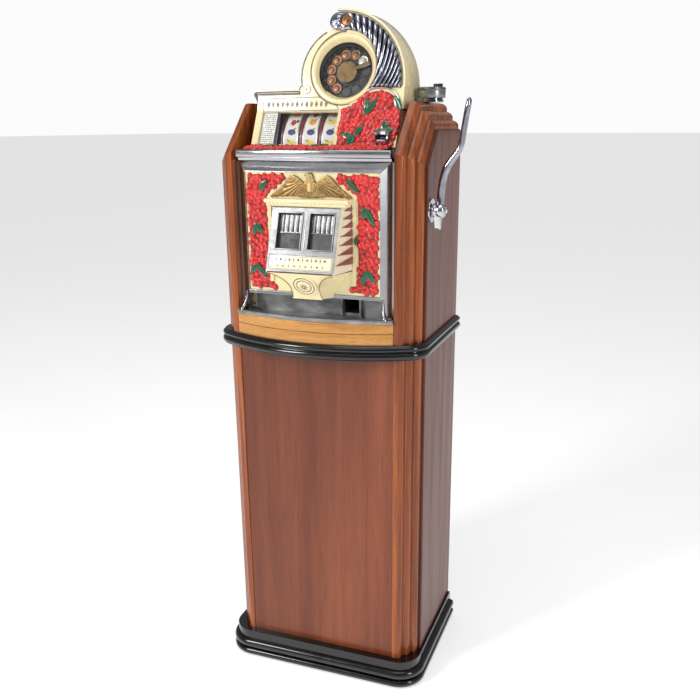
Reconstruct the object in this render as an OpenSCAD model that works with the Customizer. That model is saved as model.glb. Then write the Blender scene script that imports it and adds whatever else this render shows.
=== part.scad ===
// Three-reel mechanical slot machine with a coin dial crest,
// standing on a matching wooden console pedestal.
// Millimetres. Z is up, the front faces -Y, the pull handle is on +X.
// The origin is on the floor, under the centre of the cabinet body.

/* [Cabinet] */
// Width of the wooden body across its side panels
body_w = 460; // [456:1:470]
// Depth of the wooden body, front face to back face
body_d = 316; // [314:1:324]
// Height of the pedestal body, floor to the underside of the black belt
stand_h = 785; // [640:5:860]
// Step back of each fluted layer from the one in front of it
reed_step = 18; // [16:0.5:19]
// Radius of the rounded edge on each fluted layer
reed_r = 13; // [8:0.5:13]

/* [Plinth and belt] */
// Height of the black floor plinth
plinth_h = 66; // [56:1:76]
// Corner radius of the plinth and of the belt
plinth_r = 50; // [44:1:55]

/* [Reels] */
// Radius of a reel
reel_r = 74; // [70:0.5:74]
// Width of a reel
reel_w = 33; // [28:0.5:34]
// Distance between the centres of neighbouring reels
reel_pitch = 43.5; // [41:0.5:44]

/* [Handle] */
// Length of the pull handle from its pivot to the tip of the grip
handle_len = 216; // [196:1:230]
// Thickness of the grip
grip_d = 14; // [10:0.5:16]

/* [Dial] */
// Radius of the opening of the coin dial
dial_r = 54; // [52:0.5:54.5]
// Number of coins round the escalator wheel
dial_coins = 10; // [7:1:11]

/* [Hidden] */
$fn = 64;
a = body_w/2;            // half width of the body
yf = -body_d/2;          // front face of the body
yb = body_d/2;           // back face of the body
up = stand_h - 785;      // lift of everything above the pedestal
lean1 = atan(0.5);       // lean of the reel face
lean2 = atan(0.3);       // lean of the crest face
leanj = atan(0.34375);   // lean of the jackpot face
x1 = a - 53;             // inner side of the first layer
x2 = a - 33;             // layer limits across the corner
x3 = a - 19.5;
x4 = a - 6;
hy = -79; hz = 1084;     // handle pivot
ry = -10; rz = 1206;     // reel axle
r2x = -32.5;             // centre of the middle reel
dcx = 33; dcz = 82;      // dial centre on the crest face
dx = a - 60;             // half width of the pedestal door
cdx = x1 - 15;           // half width of the case door
wood = [0.47,0.24,0.17]; wood_o = [0.6,0.28,0.13]; maple = [0.82,0.58,0.3];
cream = [0.95,0.88,0.65]; gloss = [0.06,0.06,0.07]; alu = [0.55,0.55,0.57]; red = [0.8,0.1,0.1];
steel = [0.62,0.63,0.65]; chrome = [0.8,0.8,0.83]; brass = [0.75,0.6,0.3]; paper = [0.93,0.92,0.88];

module lift() translate([0,0,up]) children();
module both() { children(); mirror([1,0,0]) children(); }
// frames that lie on the leaning faces: local x across, y inwards, z up the face
module on_reel_face() lift() translate([0,-108,1205]) rotate([-lean1,0,0]) children();
module on_crest() lift() translate([0,-70.5,1280]) rotate([-lean2,0,0]) children();
module on_jackpot() lift() translate([0,-181,1094]) rotate([-leanj,0,0]) children();
// cylinders along x and y, and a box by its limits
module cx(r, x0, x1) translate([x0,0,0]) rotate([0,90,0]) cylinder(r=r, h=x1-x0);
module cy(r, y0, y1) translate([0,y0,0]) rotate([-90,0,0]) cylinder(r=r, h=y1-y0);
module bx(x0,x1,y0,y1,z0,z1) translate([x0,y0,z0]) cube([x1-x0,y1-y0,z1-z0]);
// outline in (y,z) pushed along x, outline in (x,z) pushed along y
module along_x(x0,x1) translate([x0,0,0]) rotate([90,0,90]) linear_extrude(x1-x0) children();
module along_y(y0,y1) translate([0,y1,0]) rotate([90,0,0]) linear_extrude(y1-y0) children();
module sq(x0,x1,z0,z1) translate([x0,z0]) square([x1-x0,z1-z0]);

// ---- mouldings that run round the front of the cabinet ----
// outline with a bowed front: rb bow radius, yc its centre, hw half width, r corner radius, o outset
function cc(rb,yc,hw,r) = yc - sqrt(pow(rb-r,2) - pow(hw-r,2));
function cphi(rb,hw,r) = asin((hw-r)/(rb-r));
function bow_half(rb,yc,hw,r,y1,o) = let (c = cc(rb,yc,hw,r), ph = cphi(rb,hw,r)) concat(
  [for (i=[0:8]) let (t = i*ph/8) [(rb+o)*sin(t), yc-(rb+o)*cos(t)]],
  [for (i=[1:6]) let (t = ph+i*(90-ph)/6) [hw-r+(r+o)*sin(t), c-(r+o)*cos(t)]],
  [[hw+o,y1]]);
module bow_outline(rb,yc,hw,r,y1,o) {
  h = bow_half(rb,yc,hw,r,y1,o); n = len(h);
  polygon(concat(h, [for (i=[n-1:-1:1]) [-h[i][0],h[i][1]]]));
}
// straight front
module flat_ring(hw,y0,r,y1) {
  translate([-(hw-r),y0,0]) mirror([0,1,0]) rotate([90,0,90]) linear_extrude(2*(hw-r)) children();
  both() {
    translate([hw-r,y0+r,0]) rotate([0,0,-90]) rotate_extrude(angle=90) translate([r,0]) children();
    translate([hw,y1,0]) rotate([90,0,0]) linear_extrude(y1-y0-r) children();
  }
}

// ---- pedestal ----
module plinth() color(gloss) {
  k = plinth_h/66;
  flat_ring(a+4, yf-14, plinth_r, yb) union() {
    translate([-34,0]) square([35.5,plinth_h]);
    translate([0,2.5*k]) square([3.5,17*k]);
    translate([3.5,11*k]) circle(r=8.5*k);
    translate([1,33*k]) circle(r=11*k);
  }
  bx(-a+30,a-30,yf+20,yb,0,14);
  bx(-a+30,a-30,yb-14,yb,10,plinth_h);
}
// plan of one corner post: stepped, each step with a rounded outer edge
module reed_plan(x0,x1,y0,y1,r) {
  difference() { translate([x0,y0]) square([x1-x0,y1-y0]); translate([x1-r,y0-1]) square([r+1,r+1]); }
  intersection() { translate([x1-r,y0+r]) circle(r); translate([x0,y0]) square([x1-x0,y1-y0]); }
}
module stand_corner() translate([0,0,plinth_h]) linear_extrude(stand_h-plinth_h) {
  reed_plan(x1,x2,yf,-80,reed_r);
  reed_plan(x2-1,x3,yf+reed_step,-80,reed_r-1);
  reed_plan(x3-1,x4,yf+2*reed_step,-80,reed_r-1);
}
module stand_corner_right() color(wood_o) stand_corner();
module stand_corner_left() color(wood_o) mirror([1,0,0]) stand_corner();
module stand_side() {
  bx(a-24,a-6,-80,yb,plinth_h,stand_h);
  translate([0,0,plinth_h]) linear_extrude(stand_h-plinth_h) reed_plan(a-6,a,yf+3*reed_step,yb,3);
}
module stand_side_right() color(wood) stand_side();
module stand_side_left() color(wood) mirror([1,0,0]) stand_side();
module stand_front_panel() color(wood) bx(-x1,x1,yf+2,yf+16,plinth_h,stand_h);
module stand_back_frame() color(wood) difference() {
  bx(-a+24,a-24,yb-14,yb,plinth_h,stand_h);
  bx(-dx-1,dx+1,yb-20,yb+1,plinth_h+50,stand_h-60);
}
module stand_door() color(wood_o) difference() {
  bx(-dx,dx,yb-13,yb,plinth_h+51,stand_h-61);
  translate([dx-30,0,stand_h/2]) cy(9.05,yb-30,yb+1);
}
// hinges: the pins and fixed knuckles, and the knuckles that swing
module hinge_fixed(zc) translate([-dx-0.5,yb+4.4,zc]) {
  translate([0,0,-30]) cylinder(r=2,h=60);
  for (s=[-30,-6,18]) translate([0,0,s]) { cylinder(r=4,h=12); translate([-20,-4.4,0]) cube([20,1.8,12]); }
  translate([-22,-4.4,-30]) cube([15,1.8,60]);
}
module hinge_moving(zc) translate([-dx-0.5,yb+4.4,zc]) {
  for (s=[-17.6,6.4]) translate([0,0,s]) difference() {
    union() { cylinder(r=4,h=11.2); translate([0,-4.4,0]) cube([20,1.8,11.2]); }
    translate([0,0,-1]) cylinder(r=2.06,h=20);
  }
  translate([7,-4.4,-29]) cube([15,1.8,58]);
}
module hinge_pins() color(steel) {
  for (z=[plinth_h+130,stand_h-140]) hinge_fixed(z);
  lift() translate([dx-cdx,0,0]) for (z=[940,1170]) hinge_fixed(z);
}
module stand_door_leaf() color(steel) for (z=[plinth_h+130,stand_h-140]) hinge_moving(z);
module case_door_leaf() color(steel) lift() translate([dx-cdx,0,0]) for (z=[940,1170]) hinge_moving(z);
module lock(zc) translate([dx-30,0,zc]) {
  cy(9,yb-16,yb); difference() { cy(12,yb,yb+5); translate([-1,yb+2,-6]) cube([2,4,12]); }
  bx(-7,7,yb-19,yb-16,-7,34);
}
module stand_lock() color(steel) lock(stand_h/2);
module belt_moulding() color(gloss) translate([0,0,stand_h]) {
  // plates whose edges step round two half-round beads: outset, bottom, top
  for (p=[[0,0,32],[8.2,2,16],[10.2,3.8,14.2],[11,6,12],[8,17,30],[9.8,18.8,28.2],[10.5,21,26]])
    translate([0,0,p[1]]) linear_extrude(p[2]-p[1]) bow_outline(421,223,a,plinth_r-8,yb,p[0]);
}

// ---- wooden case ----
module case_floor() color(wood) lift() bx(-x1,x1,-134,yb-15,817,830);
module bow_board(z0,z1) lift() intersection() {
  translate([0,236,z0]) difference() { cylinder(r=434.5,h=z1-z0); translate([0,0,-1]) cylinder(r=412,h=z1-z0+2); }
  bx(-x1,x1,-205,-130,z0,z1);
}
module front_board_lower() color(maple) bow_board(817,840);
module front_board_upper() color(maple) bow_board(841,862);
// one fluted side layer: d is its set-back; it follows the front, the slope and the top
module side_layer(xa,xb,d,r,hole) {
  sy = yf+d; zb = 1195-0.4167*d; zt = 1295-d;
  lift() difference() {
    intersection() {
      translate([0,sy,817]) linear_extrude(600) reed_plan(xa,xb,0,700,r);
      translate([0,sy,zb]) rotate([-45,0,0]) translate([0,0,-700]) linear_extrude(1400) reed_plan(xa,xb,0,1500,r);
      translate([0,-300,zt]) rotate([-90,0,0]) linear_extrude(700) reed_plan(xa,xb,0,900,r);
      along_x(xa,xb) union() {
        sq(-300,yb,817,zt-12);
        sq(-300,yb-12,zt-13,zt+1);
        translate([yb-12,zt-12]) circle(12);
      }
    }
    if (hole > 0) translate([0,hy,hz]) cx(hole,xa-1,xb+1);
  }
}
module side_inner_right() color(wood) side_layer(x1,x2,0,reed_r,12.3);
module side_middle_right() color(wood_o) side_layer(x2,x3,reed_step,reed_r-0.5,12.3);
module side_outer_right() color(wood) side_layer(x3,x4,2*reed_step,reed_r-0.5,12.3);
module side_panel_right() color(wood_o) side_layer(x4,a,3*reed_step,3,12.3);
module side_inner_left() color(wood) mirror([1,0,0]) side_layer(x1,x2,0,reed_r,0);
module side_middle_left() color(wood_o) mirror([1,0,0]) side_layer(x2,x3,reed_step,reed_r-0.5,0);
module side_outer_left() color(wood) mirror([1,0,0]) side_layer(x3,x4,2*reed_step,reed_r-0.5,0);
module side_panel_left() color(wood_o) mirror([1,0,0]) side_layer(x4,a,3*reed_step,3,0);
module case_top() color(wood) lift() {
  difference() { bx(-x1,x1,-18,yb,1283,1295); bx(-66,170,-19,51,1282,1296); }
  bx(-x1,-157.5,-18,-12,1203.2,1283); bx(165.7,x1,-18,-12,1203.2,1283); bx(162.5,166,-18,-12,1203.2,1280.2);
}
module case_back_frame() color(wood) lift() difference() {
  bx(-x1,x1,yb-15,yb,817,1283);
  bx(-cdx-1,cdx+1,yb-20,yb+1,860,1250);
}
module case_door() color(wood_o) lift() difference() {
  bx(-cdx,cdx,yb-13,yb,861,1249);
  translate([cdx-30,0,1055]) cy(9.05,yb-30,yb+1);
}
module case_lock() color(steel) lift() translate([cdx-dx,0,0]) lock(1055);

// ---- lower front: tray, frame, painted panel, jackpot ----
module payout_tray() color(alu) lift() {
  // bowed lip and floor
  intersection() {
    translate([0,330.5,862]) difference() { cylinder(r=526.5,h=8); translate([0,0,3]) cylinder(r=516,h=8); }
    bx(-x1,x1,-200,-118,862,870);
  }
  difference() { bx(-165,165,-122,-118,862,912); bx(56,92,-140,-110,870,905); }
  both() bx(161,165,-134.5,-118,862,912);
  // chute behind the opening
  bx(52,96,-118,-70,866,869);
  for (x=[52,93]) bx(x,x+3,-118,-70,869,905);
  for (x=[51,92.5]) bx(x,x+4,-130,-122,865,905);
}
module front_frame() color(alu) lift() difference() {
  union() {
    intersection() {
      along_y(-160,-135) sq(-167,167,871,1180);
      translate([0,0,860]) linear_extrude(330) polygon([[-167,-135],[-167,-143],[-148,-158.5],[148,-158.5],[167,-143],[167,-135]]);
      along_x(-167,167) polygon([[-135,871],[-158.5,871],[-158.5,1160],[-143,1180],[-135,1180]]);
    }
    bx(-x1+0.2,x1-0.2,-139,-135,871,1180);
  }
  along_y(-170,-120) sq(-148,148,914,1160);
  along_y(-170,-120) polygon([[-148,907],[148,907],[160.8,870],[-160.8,870]]);
}
module cream_panel() color(cream) lift() difference() {
  union() {
    bx(-147.8,147.8,-155,-146,914.2,1159.8);
    along_y(-159,-155) difference() { sq(-97,97,935,1108); sq(-89,89,930,1098); }
  }
  bx(-70,70,-170,-140,990,1092);
}
// field of fruit down each side of the front
module cherry_relief() color(red) lift() both() along_y(-161,-155)
  polygon([[-145,917],[-86,919],[-84,926],[-90,933],[-99,934.4],[-99,1112],[-84,1128],[-60,1146],[-58,1157],[-145,1157]]);
module eagle_relief() color(brass) lift() along_y(-162,-155)
  polygon([[-91,1109],[-70,1124],[-52,1144],[-39,1154],[-26,1150],[-12,1140],[-9,1158],[9,1158],[12,1140],[26,1150],[39,1154],[52,1144],[70,1124],[91,1109]]);
function jy(z) = -181 - (1094-z)*0.34375;
module jackpot_housing() color(cream) lift() difference() {
  union() {
    // wedge with flared cheeks
    polyhedron(points=[[-88,-155,968],[88,-155,968],[88,-155,1097],[-88,-155,1097],
                       [-74,jy(966.3)+5.3,966.3],[74,jy(966.3)+5.3,966.3],[74,jy(1094)+5.3,1094],[-74,jy(1094)+5.3,1094]],
      faces=[[0,1,2,3],[7,6,5,4],[4,5,1,0],[5,6,2],[5,2,1],[6,7,3,2],[7,4,0],[7,0,3]]);
    // ledge above the windows and the moulding under it
    bx(-91,91,-187,-159.2,1101,1108);
    bx(-88,88,-184,-159.2,1094,1101);
  }
  bx(-63,-1,-260,-146,1005,1089);
  bx(7,69,-260,-146,1005,1089);
}
module jackpot_bezel() color(alu) on_jackpot() difference() {
  bx(-74,74,0,4.8,-133,-0.5);
  bx(-60,-3,-1,6,-88,-10.5);
  bx(10,66,-1,6,-88,-10.5);
  bx(-69,69,-1,1.2,-129,-99);
}
module jackpot_combs() color([0.15,0.15,0.15]) on_jackpot() for (x=[-61,8.5]) translate([x,0,0]) {
  bx(0,58,8,10,-86,-50);
  bx(0,58,8,10,-14,-10);
  for (i=[0:4]) bx(3.5+i*12,6+i*12,8,10,-50.5,-13.5);
}
// shield under the jackpot that sweeps back to the tray: height, half width in front and behind
sh = [[966,75,88],[961,58,84],[955,48,76],[949,41,69],[942,35,62],[934,31.5,56],[925,31,51],[916,31.5,48],[909,33,46]];
function yfr(z) = -186 - (z-909)*0.684;
module apron_shield() color(cream) lift() {
  n = len(sh);
  pts = concat([for (s=sh) [s[1],yfr(s[0]),s[0]]], [for (s=sh) [s[2],s[0]>920?-155.2:-158.8,s[0]+(s[0]>960?1:s[0]<920?-1:-2)]]);
  ptl = [for (p=pts) [-p[0],p[1],p[2]]];
  polyhedron(points=concat(pts,ptl), faces=concat(
    [for (i=[0:n-2]) [i,n+i,n+i+1,i+1]],
    [for (i=[0:n-2]) [2*n+i,2*n+i+1,3*n+i+1,3*n+i]],
    [for (i=[0:n-2]) [i,i+1,2*n+i+1,2*n+i]],
    [for (i=[0:n-2]) [n+i,3*n+i,3*n+i+1,n+i+1]],
    [[0,2*n,3*n,n]],
    [[n-1,2*n-1,4*n-1,3*n-1]]));
  // round badge seat
  translate([0,yfr(939),939]) rotate([34.4,0,0]) cy(24,-3,4);
}

// ---- upper front: ledge, reel face, reels ----
module ledge_bar() color(alu) lift() {
  bx(-x1+0.2,x1-0.2,-159,-100,1188,1203);
  bx(-160,160,-153,-120,1180.2,1188);
  bx(-x1+0.2,-157.5,-100,-18.2,1188,1203); bx(162.5,x1-0.2,-100,-18.2,1188,1203);
}
// points (y,z) of the two leaning faces: depth behind the face, height up the face
function pr(d,h) = [-108 + h*sin(lean1) + d*cos(lean1), 1205 + h*cos(lean1) - d*sin(lean1)];
function pc(d,h) = [-70.5 + h*sin(lean2) + d*cos(lean2), 1280 + h*cos(lean2) - d*sin(lean2)];
module upper_casting() color(cream) lift() difference() {
  union() {
    // title plate over the reel face, with its side wall, top deck and back wall
    along_x(-157,-61.3) polygon([pr(0,2.5),pc(0,0),pc(0,38),[-20,1314],[-20,1282],[-25,1282],[-25,1308],[-53,1308],[-63.97,1277.41],pr(7,2.5)]);
    along_x(-61.3,162) polygon([pr(0,2.5),pc(0,0),[-63.97,1277.41],pr(7,2.5)]);
    along_x(-163,-61.3) polygon([pc(-3,38),pc(-3,41),pc(10,41),pc(10,36),pc(0,36),pc(0,38)]);
    along_x(-157,-151) polygon([pr(3,3),pc(3,0),pc(3,37),[-22,1312],[-20,1300],[-20,1203.5],[-101,1204.5]]);
    along_x(156,162) polygon([pr(3,3),[-67,1278],[-20,1278],[-20,1203.5],[-101,1204.5]]);
  }
  translate([0,-108,1205]) rotate([-lean1,0,0]) bx(-143,29,-4,12,8,80.5);
}
module cherries_upper() color(red) {
  difference() {
    union() {
      on_reel_face() along_y(-5,0) polygon([[32,3],[158,3],[161,30],[162,66],[161,83],[33,83],[32,78],[31,8]]);
      on_crest() along_y(-5,0) polygon([[33,0],[161,0],[158,18],[148,30],[132,39],[110,40],[94,37.5],[79,23],[62,10],[38,4]]);
      lift() along_x(-150,152) polygon([[-154,1203.2],[-113,1203.2],[-113,1212],[-150,1208]]);
    }
    on_reel_face() translate([134,0,20]) { cy(19.5,-6,1); sphere(r=19.4); }
  }
}
// domed cup that returns a coin
module coin_return_cup() color(chrome) on_reel_face() translate([134,0,20]) difference() {
  intersection() { sphere(r=19); bx(-30,30,-30,0,-30,30); }
  sphere(r=16.5);
  bx(-12,12,-30,-4,-9,1);
}
module window_panes() color([0.75,0.8,0.8,0.4]) {
  on_reel_face() bx(-146,32,7.2,9,5,82);
  on_jackpot() { bx(-62,-1.5,5.2,7,-90,-8); bx(8,68,5.2,7,-90,-8); }
}
function rx(i) = r2x + (i-2)*reel_pitch;
module reel(i) lift() translate([rx(i),ry,rz]) {
  difference() { cx(reel_r,-reel_w/2,reel_w/2); cx(reel_r-3,-reel_w/2-1,reel_w/2+1); }
  difference() {
    union() { cx(reel_r-2.5,-1.5,1.5); cx(14,-reel_w/2,reel_w/2); }
    cx(5.06,-40,40);
    for (t=[0:60:300]) rotate([t,0,0]) translate([0,0,42]) cx(15,-5,5);
  }
}
module reel_1() color(paper) reel(1);
module reel_2() color(paper) reel(2);
module reel_3() color(paper) reel(3);
module reel_shaft() color(steel) lift() translate([0,ry,rz]) cx(5,rx(1)-40,rx(3)+40);
// mechanism frame: base, legs, side plates bored for the reel axle, coin tube
module mech_frame() color(steel) lift() {
  difference() {
    for (x=[rx(1)-34,rx(3)+30]) bx(x,x+4,-60,60,1040,1222);
    translate([0,ry,rz]) cx(5.02,rx(1)-41,rx(3)+41);
    for (x=[rx(1)-32,rx(3)+32]) translate([x,0,1105]) cx(28,-8,8);
  }
  bx(-150,140,-108,120,1032,1040);
  for (x=[-150,135]) bx(x,x+5,-108,120,830,1032);
  translate([84,-72,1040]) difference() { cylinder(r=15,h=120); translate([0,0,-0.5]) cylinder(r=12,h=122); }
}
// stack of drilled plates that slides as the handle is pulled
module payout_slides() color(brass) lift() for (i=[0:4]) difference() {
  bx(-70,20,-106,30,1040.5+i*3.5,1043+i*3.5);
  for (k=[0:2]) translate([-52+k*27,-70+i*6,1039+i*3.5]) cylinder(r=9,h=6);
}
module cash_box() color(steel) lift() difference() {
  bx(-136,-10,8,138,830.2,925);
  bx(-134.5,-11.5,9.5,136.5,832,930);
}

// ---- crest with the coin dial ----
module crest_outline() {
  intersection() { translate([12,1325]) circle(153); sq(18,165.5,1281,1490); }
  intersection() { translate([30,1352]) circle(91); sq(-70,130,1280.4,1450); }
  translate([10,1453]) circle(17);
  sq(-61,165.5,1280.4,1325);
}
module crest_core(o,z0) {
  intersection() { translate([12,1325]) circle(153-o); sq(30,165.5-o,1288,1490); }
  intersection() { translate([30,1352]) circle(91-o); sq(-70,130,z0,1450); }
  sq(-61+o,165.5-o,z0,1325);
}
module crest_housing() color(cream) difference() {
  lift() along_y(-90,50) crest_outline();
  intersection() { lift() along_y(-91,51) crest_core(7,1275); on_crest() bx(-300,300,7,300,-300,300); }
  on_crest() bx(-300,300,-200,0,-300,300);
  on_crest() translate([dcx,0,dcz]) cy(63.5,-1,20);
}
module crest_back_plate() color(gloss) lift() along_y(45,50) crest_core(7.5,1284);
module dial_bezel() color(cream) on_crest() translate([dcx,0,dcz]) rotate([-90,0,0]) rotate_extrude()
  polygon([[dial_r,12.5],[62,-1.5],[63,-3],[65,-3],[66,-1.5],[66,-0.05],[63.4,-0.05],[63.4,6],[dial_r+3,12.6],[dial_r,12.6]]);
module dial_glass() color([0.8,0.85,0.85,0.3]) on_crest() translate([dcx,0,dcz]) cy(dial_r+2.5,12.7,14.2);
// fixed medallion, pointer, axle and the bar that carries them
module dial_hub() color(brass) on_crest() translate([dcx,4.3,dcz]) {
  cy(21.5,10,13);
  cy(4,12,34);
  rotate([0,-22,0]) bx(20,51,10.5,12.5,-3,3);
  bx(-85.4,120.4,30,34,-9,9);
}
module escalator_wheel() color([0.2,0.2,0.22]) on_crest() translate([dcx,4.3,dcz]) difference() {
  union() {
    cy(53,18,21);
    difference() { cy(53,14,18.5); cy(50.5,13,19); }
    cy(12,14,26);
    for (i=[0:dial_coins-1]) rotate([0,i*360/dial_coins,0]) translate([39,0,0]) cy(10.6,15.6,18.5);
  }
  cy(4.06,10,30);
}
// fluted horn that sweeps over the dial
module horn() color(chrome) intersection() {
  lift() along_y(-140,60) {
    difference() {
      intersection() { translate([12,1325]) circle(147); sq(12,170,1321,1490); }
      translate([30,1363]) circle(71.5);
    }
    translate([10,1453]) circle(17);
  }
  on_crest() bx(-300,300,-14,0,-300,300);
}

// ---- coin head, handle ----
module coin_head() color(alu) lift() difference() {
  union() {
    bx(178,196,2,38,1295,1303.5);
    translate([199,20,1303]) cylinder(r=29,h=20);
  }
  translate([196,20,1311]) translate([-1.6,-14,0]) cube([3.2,28,20]);
  translate([213,6,1309]) cylinder(r=3.06,h=20);
}
module coin_return_lever() color([0.15,0.15,0.16]) lift() translate([213,6,0]) {
  translate([0,0,1311]) cylinder(r=3,h=14);
  translate([0,0,1323.4]) cylinder(r=6,h=6);
  bx(0,5,-3,22,1324.4,1328.4);
  translate([2.5,24,1323.9]) cylinder(r=4.5,h=7);
}
module handle_bushing() color(chrome) lift() translate([0,hy,hz]) difference() {
  union() { cx(12,x1-4,a+1); cx(24,a+0.1,a+3); cx(18,x1-4.2,x1-0.2); }
  cx(8.06,x1-10,a+10);
}
// arm and grip: a round section swept along a smooth path, [x, z, radius]
hp = [[17,-2,10],[18,20,10],[20.5,44,9.3],[24,66,8.8],[31,86,8.4],[43,103,8],[54,115,7.6],[60,130,7.2],[63,148,7],[66,170,7],[69,190,7],[71.5,205,6.6],[72.3,212,4.6],[72.7,215.5,1.8]];
function arm_p(i) = let (k = handle_len/216) [a+hp[i][0], hp[i][1]*k];
function arm_t(i) = let (p = arm_p(min(i+1,len(hp)-1)), q = arm_p(max(i-1,0)), d = p-q) d/norm(d);
module swept_arm(n=14) {
  m = len(hp);
  pts = [for (i=[0:m-1]) let (c = arm_p(i), t = arm_t(i), r = hp[i][2]*(i<7 ? 1 : grip_d/14))
    for (j=[0:n-1]) let (u = r*cos(360*j/n), v = r*sin(360*j/n)) [c[0]+u*t[1], v, c[1]-u*t[0]]];
  polyhedron(points=pts, faces=concat(
    [for (i=[0:m-2]) for (j=[0:n-1]) let (k = (j+1)%n) each [[i*n+j,(i+1)*n+j,(i+1)*n+k],[i*n+j,(i+1)*n+k,i*n+k]]],
    [[for (j=[0:n-1]) j], [for (j=[n-1:-1:0]) (m-1)*n+j]]));
}
module pull_handle() color(chrome) lift() translate([0,hy,hz]) {
  k = handle_len/216;
  cx(8,118,a+8);
  cx(14.5,a+4,a+30);
  // inner crank
  translate([118,0,0]) { cx(11,0,8); bx(0,8,-7,7,-30,0); }
  // drop-shaped lug under the hub
  along_x(a+9.5,a+21.5) polygon([[-11,-6],[11,-6],[6.5,-31],[0,-38],[-6.5,-31]]);
  swept_arm();
}

plinth();
stand_front_panel();
stand_corner_left();
stand_corner_right();
stand_side_left();
stand_side_right();
stand_back_frame();
stand_door();
stand_door_leaf();
hinge_pins();
stand_lock();
belt_moulding();
case_floor();
front_board_lower();
front_board_upper();
side_inner_left();
side_middle_left();
side_outer_left();
side_panel_left();
side_inner_right();
side_middle_right();
side_outer_right();
side_panel_right();
case_top();
case_back_frame();
case_door();
case_door_leaf();
case_lock();
payout_tray();
front_frame();
cream_panel();
cherry_relief();
eagle_relief();
jackpot_housing();
jackpot_bezel();
jackpot_combs();
apron_shield();
ledge_bar();
upper_casting();
cherries_upper();
coin_return_cup();
window_panes();
reel_1();
reel_2();
reel_3();
reel_shaft();
mech_frame();
payout_slides();
cash_box();
crest_housing();
crest_back_plate();
dial_bezel();
dial_glass();
dial_hub();
escalator_wheel();
horn();
coin_head();
coin_return_lever();
handle_bushing();
pull_handle();
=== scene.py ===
import bpy, bmesh, math
import numpy as np
from mathutils import Vector, Matrix


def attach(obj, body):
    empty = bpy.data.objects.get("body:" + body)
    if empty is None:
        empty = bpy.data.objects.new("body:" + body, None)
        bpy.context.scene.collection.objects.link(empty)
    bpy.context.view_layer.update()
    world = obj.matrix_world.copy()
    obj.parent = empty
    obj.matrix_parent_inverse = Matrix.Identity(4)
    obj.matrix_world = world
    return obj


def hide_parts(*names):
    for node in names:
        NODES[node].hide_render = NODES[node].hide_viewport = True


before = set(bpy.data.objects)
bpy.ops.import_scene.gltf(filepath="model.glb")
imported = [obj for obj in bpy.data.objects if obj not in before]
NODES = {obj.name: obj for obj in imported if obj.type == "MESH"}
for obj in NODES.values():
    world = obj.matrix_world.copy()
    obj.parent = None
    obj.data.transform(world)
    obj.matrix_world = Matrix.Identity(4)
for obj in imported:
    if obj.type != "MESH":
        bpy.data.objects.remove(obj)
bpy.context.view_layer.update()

rng = np.random.default_rng(11)
scene = bpy.context.scene
pi = math.pi


# ------------------------------------------------------------------ camera, light, floor
def make_camera():
    yaw, pitch, roll = 0.346368, 0.297891, -0.004222
    fw = Vector((-math.sin(yaw) * math.cos(pitch), math.cos(yaw) * math.cos(pitch), -math.sin(pitch)))
    r = Vector((math.cos(yaw), math.sin(yaw), 0))
    u = r.cross(fw)
    r2 = math.cos(roll) * r + math.sin(roll) * u
    u2 = -math.sin(roll) * r + math.cos(roll) * u
    cd = bpy.data.cameras.new("camera")
    cam = bpy.data.objects.new("camera", cd)
    scene.collection.objects.link(cam)
    m = Matrix((r2, u2, -fw)).transposed().to_4x4()
    m.translation = Vector((0.67266, -1.67964, 1.24815))
    cam.matrix_world = m
    cd.sensor_width = 36
    cd.lens = 806.567 * 36 / 700
    cd.shift_x = -(368.932 - 350) / 700
    cd.shift_y = (373.502 - 350) / 700
    cd.clip_end = 300
    scene.camera = cam


make_camera()


def area(name, loc, target, size, power, col=(1, 1, 1), size_y=None):
    d = bpy.data.lights.new(name, 'AREA')
    d.energy = power
    d.size = size
    if size_y:
        d.shape = 'RECTANGLE'
        d.size_y = size_y
    d.color = col
    o = bpy.data.objects.new(name, d)
    scene.collection.objects.link(o)
    o.location = loc
    o.rotation_euler = (Vector(target) - Vector(loc)).to_track_quat('-Z', 'Y').to_euler()
    return o


area("key_left", (-1.9, -2.6, 2.5), (0, 0, 0.95), 0.8, 74, (1.0, 0.985, 0.96), 1.5)
area("fill_right", (2.7, -1.3, 1.9), (0.1, 0, 0.8), 0.5, 27, (0.97, 0.985, 1.0), 1.8)
area("top_soft", (0.2, -0.5, 3.3), (0, 0, 0.9), 1.6, 13)


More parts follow.
